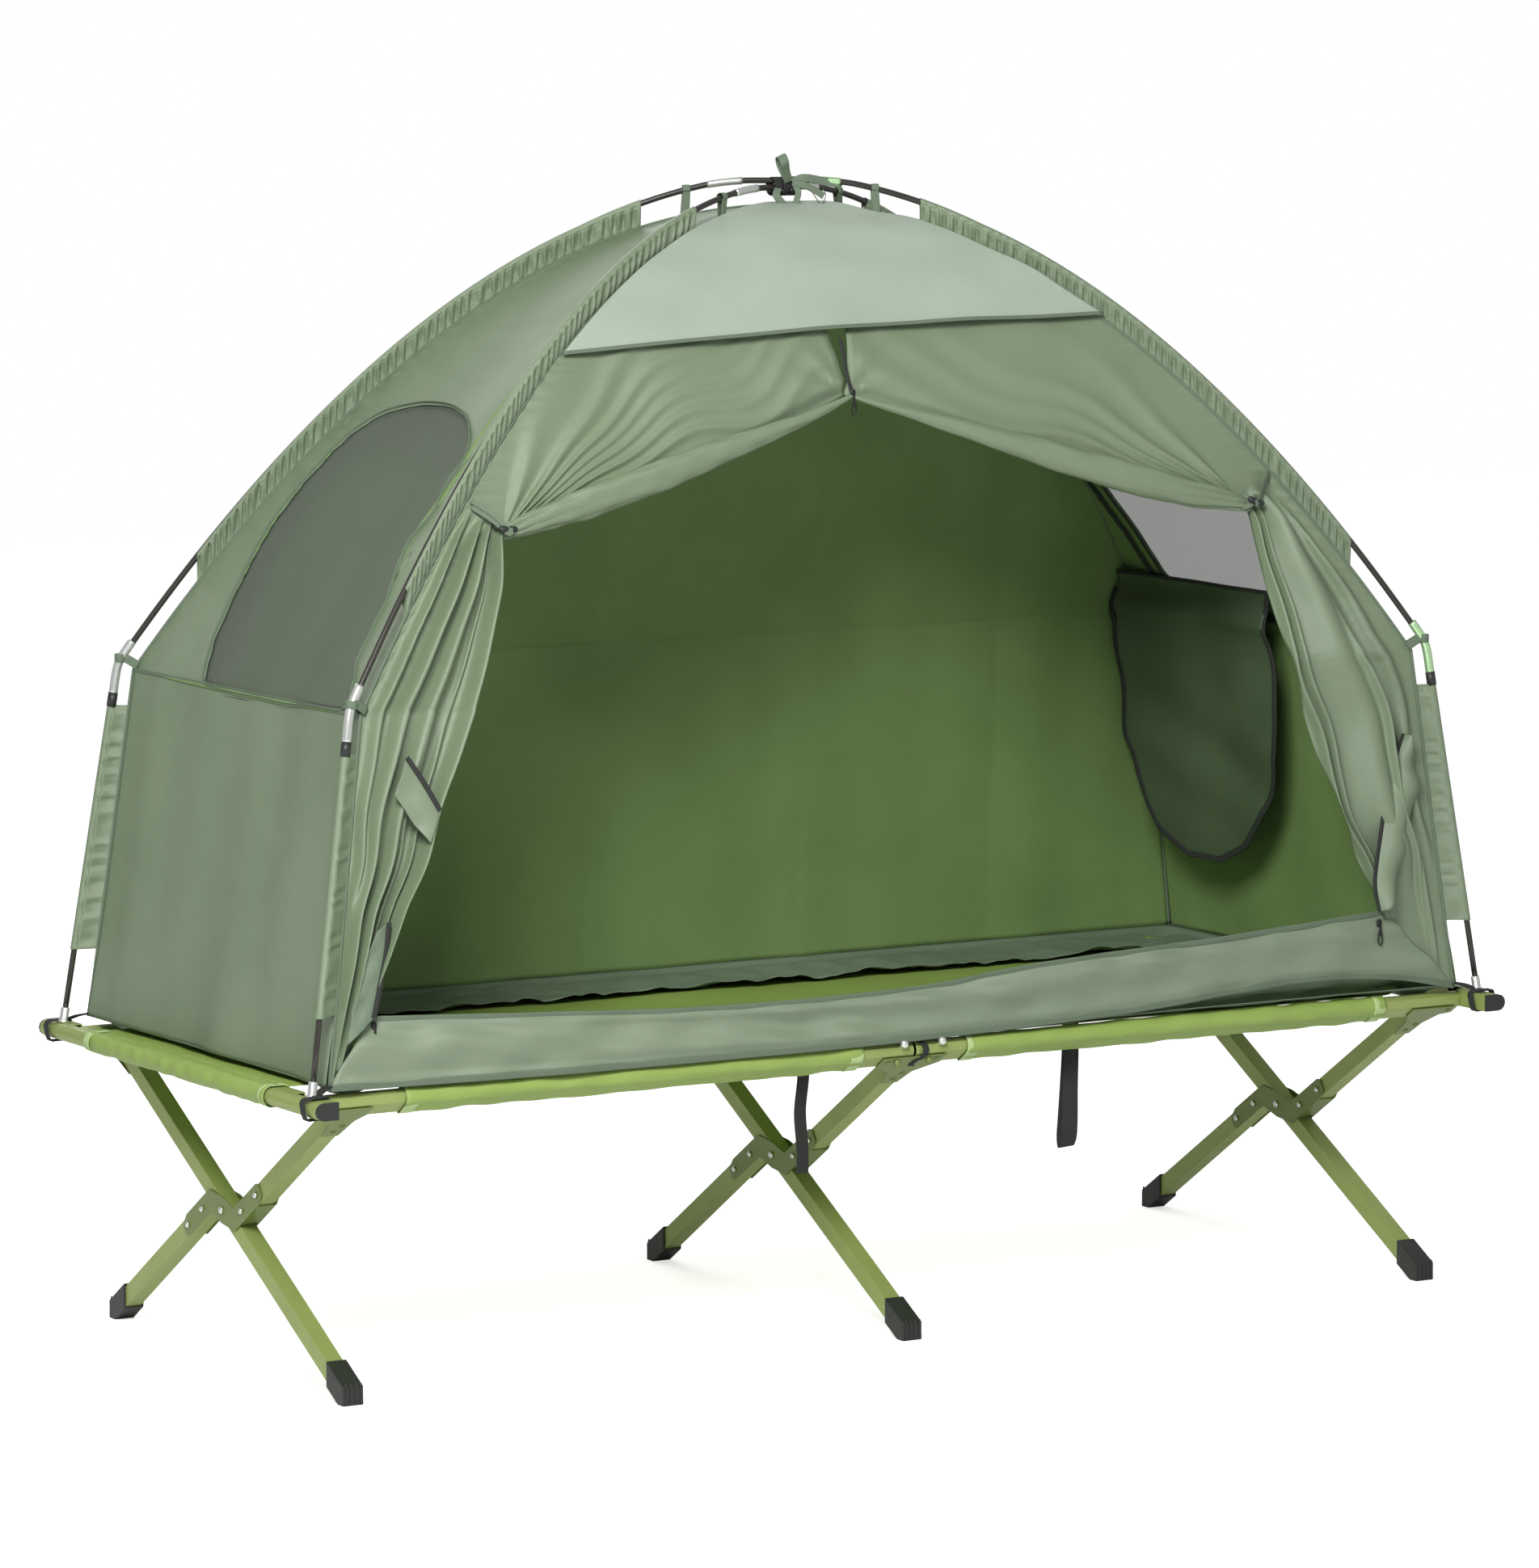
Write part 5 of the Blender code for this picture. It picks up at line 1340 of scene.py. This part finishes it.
# %% Toggles that hold the door back
for side, sign in ENDS:
    tie = np.array(TIES[side])
    base = wall_point("front", tie[0], seam_s(tie[1]), 0.018)
    length = np.array([1.0, 0, -0.06 if sign < 0 else -0.35])
    t = np.linspace(-0.5, 0.5, 12)[:, None]
    barrel = base + np.array([sign * 0.004, -0.004, 0.002]) + unit(length) * 0.030 * t
    girth = 0.0045 * np.sqrt(np.clip(1 - (2 * np.abs(t[:, 0])) ** 6, 0.02, 1))
    piece("toggle_" + side, barrel, spun(girth, 14), BACKWARDS, black_plastic)
    anchor_z = tie[1] + 0.040
    anchor = wall_point("front", sign * CPH * (float(seam_s(anchor_z)) - 0.012), seam_s(anchor_z), 0.004)
    for number, shift in enumerate((-0.004, 0.004)):
        mid = (base + anchor) / 2 + [0, -0.006, shift]
        near = base + [sign * 0.006, -0.007, shift * 0.6]
        strap("tie_loop_%s_%d" % (side, number),
              [anchor + [0, 0, shift], mid, near, base + [0.0, -0.009, 0]],
              0.0075, 0.0012, (0, 0.2, 1), sage_tape, rows=40)
    centre = base + [sign * 0.002, 0.014, 0]
    slant = unit(np.array([1.0, 0, 0.5 * sign]))
    tight = centre + BACKWARDS * 0.0155 * np.sin(turn(40)) + slant * 0.0150 * np.cos(turn(40))
    band_ring("tie_wrap_" + side, tight, 0.0080, 0.0014, (0.3, 0, 1), sage_tape)
print("door tied back at", TIES)

# %% [markdown]
# ### Elastic loops and the hanging strap
#
# Black elastic runs from each tent corner round the end of the bar below it, and one more
# loop holds the hem at the rail's mid joint.

# %% Elastic loops
HALF_H, HALF_W, MID_Z = BAR_H / 2 + 0.0032, BAR_W / 2 + 0.0030, (BAR_TOP + BAR_LOW) / 2
for corner, (sx, sy) in CORNERS.items():
    body = ("left" if sx < 0 else "right") + "_end"
    y0 = sy * (PIN_Y + 0.013)
    a = turn(48)
    ring = np.concatenate([sx * BAR_X + HALF_W * power(np.cos(a), 0.55), y0 + 0.004 * np.sin(3 * a),
                           MID_Z + HALF_H * power(np.sin(a), 0.55)], -1)
    band_ring("elastic_ring_" + corner, ring, 0.012, 0.0026, BACKWARDS, webbing, body)
    hem = np.array([sx * (TENT_X - 0.002), sy * (TENT_Y - 0.002), FLOOR_Z + 0.004])
    over = np.array([sx * (BAR_X - 0.006), y0 - sy * 0.010, BAR_TOP + 0.004])
    lead = [hem, (hem + over) / 2 + [0, 0, 0.001], over, over + [sx * 0.010, sy * 0.010, -0.001]]
    strap("elastic_lead_" + corner, lead, 0.010, 0.0022, RIGHT, webbing, body=body, rows=30)

# %% Studs and elastic at the mid joint of each rail
STUD_AT, STUD_GIRTH = [0, 0.35, 0.42, 0.55, 0.75, 0.92, 1], [0.0032, 0.0032, 0.0048, 0.0062, 0.0062,
                                                             0.0042, 0.001]
for side, sign in SIDES:
    outwards, upwards = rail_tilt(sign)
    body = side + "_frame"
    for number, at in enumerate((-0.022, 0.040)):
        seat = np.array([at, sign * RAIL_Y, RAIL_Z]) + outwards * (BAR_W / 2 - 0.001)
        t = np.linspace(0, 1, 14)
        piece("rail_stud_%s_%d" % (side, number), seat + outwards * 0.016 * t[:, None],
              spun(np.interp(t, STUD_AT, STUD_GIRTH), 16), RIGHT, steel, body)
    profile = nose_profile(0.0030)[::3]
    weave = 0.006 * np.sin(np.linspace(0, 4 * math.pi, len(profile), endpoint=False))[:, None]
    loop = np.array([0.010, sign * RAIL_Y, RAIL_Z]) + outwards * profile[:, :1] + upwards * profile[:, 1:]
    band_ring("mid_elastic_" + side, loop + RIGHT * weave, 0.009, 0.0024, RIGHT, webbing, body)
print("elastic rings:", len(CORNERS) + len(SIDES))

# %% Hanging strap
strap_low, strap_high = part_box("hanging_strap")
STRAP_Y = (strap_low.y + strap_high.y) / 2
FREE_X, LOOP_X, HANG_Z = strap_low.x, strap_high.x - 0.012, strap_low.z
ROOT_Z = SHEET_Z - 0.003
free = [(FREE_X, STRAP_Y, ROOT_Z), (FREE_X + 0.001, STRAP_Y - 0.002, 0.380),
        (FREE_X - 0.003, STRAP_Y, 0.330),
        (FREE_X + 0.002, STRAP_Y + 0.002, 0.280), (FREE_X + 0.001, STRAP_Y, HANG_Z)]
strap("strap_free_end", free, 0.025, 0.0016, (0.95, 0.3, 0), webbing, body="front_frame",
      replaces=["hanging_strap"])
teardrop = [(0, -0.002, ROOT_Z), (0, -0.003, 0.380), (-0.003, -0.006, 0.330), (-0.007, -0.012, 0.280),
            (-0.008, -0.011, 0.256), (-0.006, 0, HANG_Z), (-0.002, 0.010, 0.256), (0, 0.011, 0.280),
            (-0.001, 0.004, 0.330), (0, 0.001, 0.380), (0, 0, ROOT_Z)]
strap("strap_loop", np.array(teardrop) + [LOOP_X, STRAP_Y, 0], 0.024, 0.0016, (1, -0.2, 0.12), webbing,
      body="front_frame", rows=120)
print("strap hangs", round(SHEET_Z - HANG_Z, 3), "m")

# %% [markdown]
# ## Zips
#
# The sliders are small castings on black tape. The tape lies along the door's edges, and at the
# lower corners it shows where the door cloth folds outwards.

# %% Zip tapes and sliders
crown = np.array([(-0.015, 1.318), (-0.017, 1.345), (-0.015, 1.372), (-0.014, 1.392)])
strap("crown_tape", wall_point("front", crown[:, 0], seam_s(crown[:, 1]), 0.0035), 0.0060, 0.0012, RIGHT,
      zip_tape,
      rows=30)
SLIDER_X = np.array([1.0, 0.5])                 # a slider is half as deep as it is wide
for name in ("door", "sill_left", "sill_right"):
    node = "zip_pull_" + name
    body = name.replace("sill", "sill_pull") if "sill" in name else "door_pull"
    low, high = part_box(node)
    mid, top = (low + high) / 2, high.z
    a = turn(44)[:, 0]
    z = (top + low.z) / 2 - 0.0025 + 0.0115 * np.sin(a)
    x = mid.x + (0.0028 + 0.0010 * (np.sin(a) < 0)) * np.cos(a)
    piece("zip_tab_" + name, np.stack([x, np.full_like(a, mid.y), z], -1), flat_band(0.0020, 0.0016),
          BACKWARDS,
          zip_metal, body, ring=True, replaces=[node])
    z = np.linspace(top - 0.016, top + 0.001, 10)
    neck = np.stack([np.full(10, mid.x), np.full(10, mid.y), z], -1)
    width = np.interp(np.linspace(0, 1, 10), [0, 0.5, 1], [0.0052, 0.0040, 0.0030])
    stem = flat_band(1.0, 0.0014)[None] * np.stack([width, np.ones(10)], -1)[:, None]
    piece("zip_stem_" + name, neck, stem, RIGHT, zip_metal, body)
    z = np.linspace(top - 0.004, top + 0.008, 12)
    cast = np.stack([np.full(12, mid.x), np.full(12, mid.y + 0.0035), z], -1)
    girth = 0.0044 * np.sqrt(np.clip(1 - np.linspace(-1, 1, 12) ** 4, 0.05, 1))
    piece("zip_slider_" + name, cast, spun(girth, 12) * SLIDER_X, RIGHT, zip_metal)
print("three sliders with their pulls")

# %% [markdown]
# ## Metal and plastic of the bed
#
# The tubes and plates keep the solids of the model. A copy of each gets its doubled corners
# merged and its edges rounded with a bevel, because drawn tube and pressed plate have no
# sharp edge, and a rounded edge is what catches the light.


# %% Rounded copies of solid parts
def rounded(node, finish, width, segments):
    """Copies a solid part, merges its corners, rounds its edges and stands in for it."""
    source = NODES[node]
    ob = bpy.data.objects.new("round_" + node, source.data.copy())
    bpy.context.scene.collection.objects.link(ob)
    for name in [k for k in ob.keys()]:
        del ob[name]
    ob.data.materials.clear()
    weld = ob.modifiers.new("merge corners", "WELD")
    weld.merge_threshold = 0.00002
    edge = ob.modifiers.new("round edges", "BEVEL")
    edge.width = width
    edge.segments = segments
    edge.limit_method = "ANGLE"
    edge.angle_limit = math.radians(35)
    edge.use_clamp_overlap = True
    edge.harden_normals = False
    ob.data.polygons.foreach_set("use_smooth", np.full(len(ob.data.polygons), False))
    fitting(ob, source["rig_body"], finish, replaces=[node])


# which names take which finish, how far their edges are rounded, their slot and the bevel's steps
ROUNDING = [("_leg_", tube_paint, 0.0010, "frame_tube", 2), ("_rail_", tube_paint, 0.0010, "frame_tube", 2),
            ("end_bar", tube_paint, 0.0008, "frame_tube", 2),
            ("bracket", plate_paint, 0.0006, "frame_bracket", 2),
            ("_foot_", black_plastic, 0.0016, "foot_plastic", 3),
            ("end_cap", black_plastic, 0.0012, "foot_plastic", 2)]
for node in sorted(NODES):
    for mark, finish, width, slot, segments in ROUNDING:
        if mark in node:
            rounded(node, finish, width, segments)
            break

# %% Ribs on the toes of the boots
RIB_LOW, RIB_TOP = 0.0025, 0.0300
for node in sorted(name for name in NODES if "_foot_" in name):
    low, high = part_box(node)
    sign = -1 if (low.y + high.y) < 0 else 1
    toe = low.y if sign < 0 else high.y
    for number, share in enumerate(np.linspace(-0.36, 0.36, 4)):
        x = (low.x + high.x) / 2 + share * (high.x - low.x)
        z = np.linspace(RIB_LOW, RIB_TOP, 8)
        rib_path = np.stack([np.full(8, x), np.full(8, toe + sign * 0.0004), z], -1)
        piece("toe_rib_%s_%d" % (node, number), rib_path, flat_band(0.0028, 0.0016), RIGHT,
              black_plastic, NODES[node]["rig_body"])
print("ribs stand", RIB_TOP, "m high on each boot")

# %% Rivet heads
HALF_PLATE = 0.0165                             # outer face of a pivot plate from its middle
PLACES = [(0.0, 0.0), (0.055, -LEG_OFF), (0.108, -LEG_OFF), (-0.055, LEG_OFF), (-0.108, LEG_OFF)]
along_leg, square_leg = rail_tilt(-1)
for tag in ("left", "mid", "right"):
    low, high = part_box("scissor_bracket_" + tag)
    middle = (low.x + high.x) / 2
    for number, (u, v) in enumerate(PLACES):
        radius = 0.0044 if number else 0.0054
        for end in (-1, 1):
            seat = np.array([middle + end * HALF_PLATE, 0, PIVOT_Z]) + along_leg * u + square_leg * v
            t = np.linspace(0, 1, 7)
            girth = radius * np.sqrt(np.clip(1 - t ** 2.4, 0.01, 1))
            dome = seat + end * RIGHT * (0.0026 * t - 0.0003)[:, None]
            across = np.cross((end, 0, 0), (0.3, 0.9, 0.2))
            piece("rivet_%s_%d_%d" % (tag, number, end > 0), dome, spun(girth, 14), across,
                  steel, "front_frame")
print("rivet heads:", 3 * len(PLACES) * 2)

# %% [markdown]
# ## Light and floor
#
# One soft light from the left front shapes the folds, a weak one opens the shade and one from
# behind edges the roof. The floor is pale and plain. It and the sky are brighter to the camera
# than to the cloth, so the ground stays white and the cloth keeps its shade.


# %% Lights
def soft_light(name, place, aim, size, power):
    """An area light at a place, turned towards its aim."""
    data = bpy.data.lights.new(name, "AREA")
    data.size = size
    data.energy = power
    ob = bpy.data.objects.new(name, data)
    ob.location = place
    ob.rotation_euler = (Vector(aim) - Vector(place)).to_track_quat("-Z", "Y").to_euler()
    bpy.context.scene.collection.objects.link(ob)


soft_light("key", (-2.5, -3.1, 3.4), (0, 0, 0.8), 1.4, 255)
soft_light("fill", (3.2, -4.0, 2.4), (0, 0, 0.8), 3.0, 10)
soft_light("back", (0.5, 4.0, 3.5), (0, 0, 1.0), 3.0, 60)
world = bpy.data.worlds.new("studio")
world.use_nodes = True
n = Nodes(world.node_tree)
background = world.node_tree.nodes["Background"]
background.inputs["Color"].default_value = rgba(1, 1, 1)
seen = n.add("ShaderNodeLightPath").outputs["Is Camera Ray"]
brightness = n.add("ShaderNodeMapRange", {"Value": seen, "To Min": 0.42, "To Max": 1.0})
n.put(background.inputs["Strength"], brightness.outputs["Result"])
bpy.context.scene.world = world
bpy.context.scene.view_settings.view_transform = "Standard"
print("lights:", [light.name for light in bpy.data.lights])

# %% Floor
row = np.linspace(-12, 12, 3)
floor = surface("floor", np.stack(np.meshgrid(row, row) + [np.zeros((3, 3))], -1), away=(0, 0, -5))
floor_finish = bpy.data.materials.new("pale floor")
floor_finish.use_nodes = True
shader = floor_finish.node_tree.nodes["Principled BSDF"]
shader.inputs["Base Color"].default_value = rgba(0.9, 0.9, 0.9)
shader.inputs["Roughness"].default_value = 0.8
shader.inputs["Emission Color"].default_value = rgba(1, 1, 1)
n = Nodes(floor_finish.node_tree)
seen = n.add("ShaderNodeLightPath").outputs["Is Camera Ray"]
n.put(shader.inputs["Emission Strength"], n.math("MULTIPLY", seen, 0.62))
floor.data.materials.append(floor_finish)
floor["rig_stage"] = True
print("floor is", row[-1] - row[0], "m wide")

# %% Size
low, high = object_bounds()
print("whole object is", round(high.z - low.z, 3), "m high")
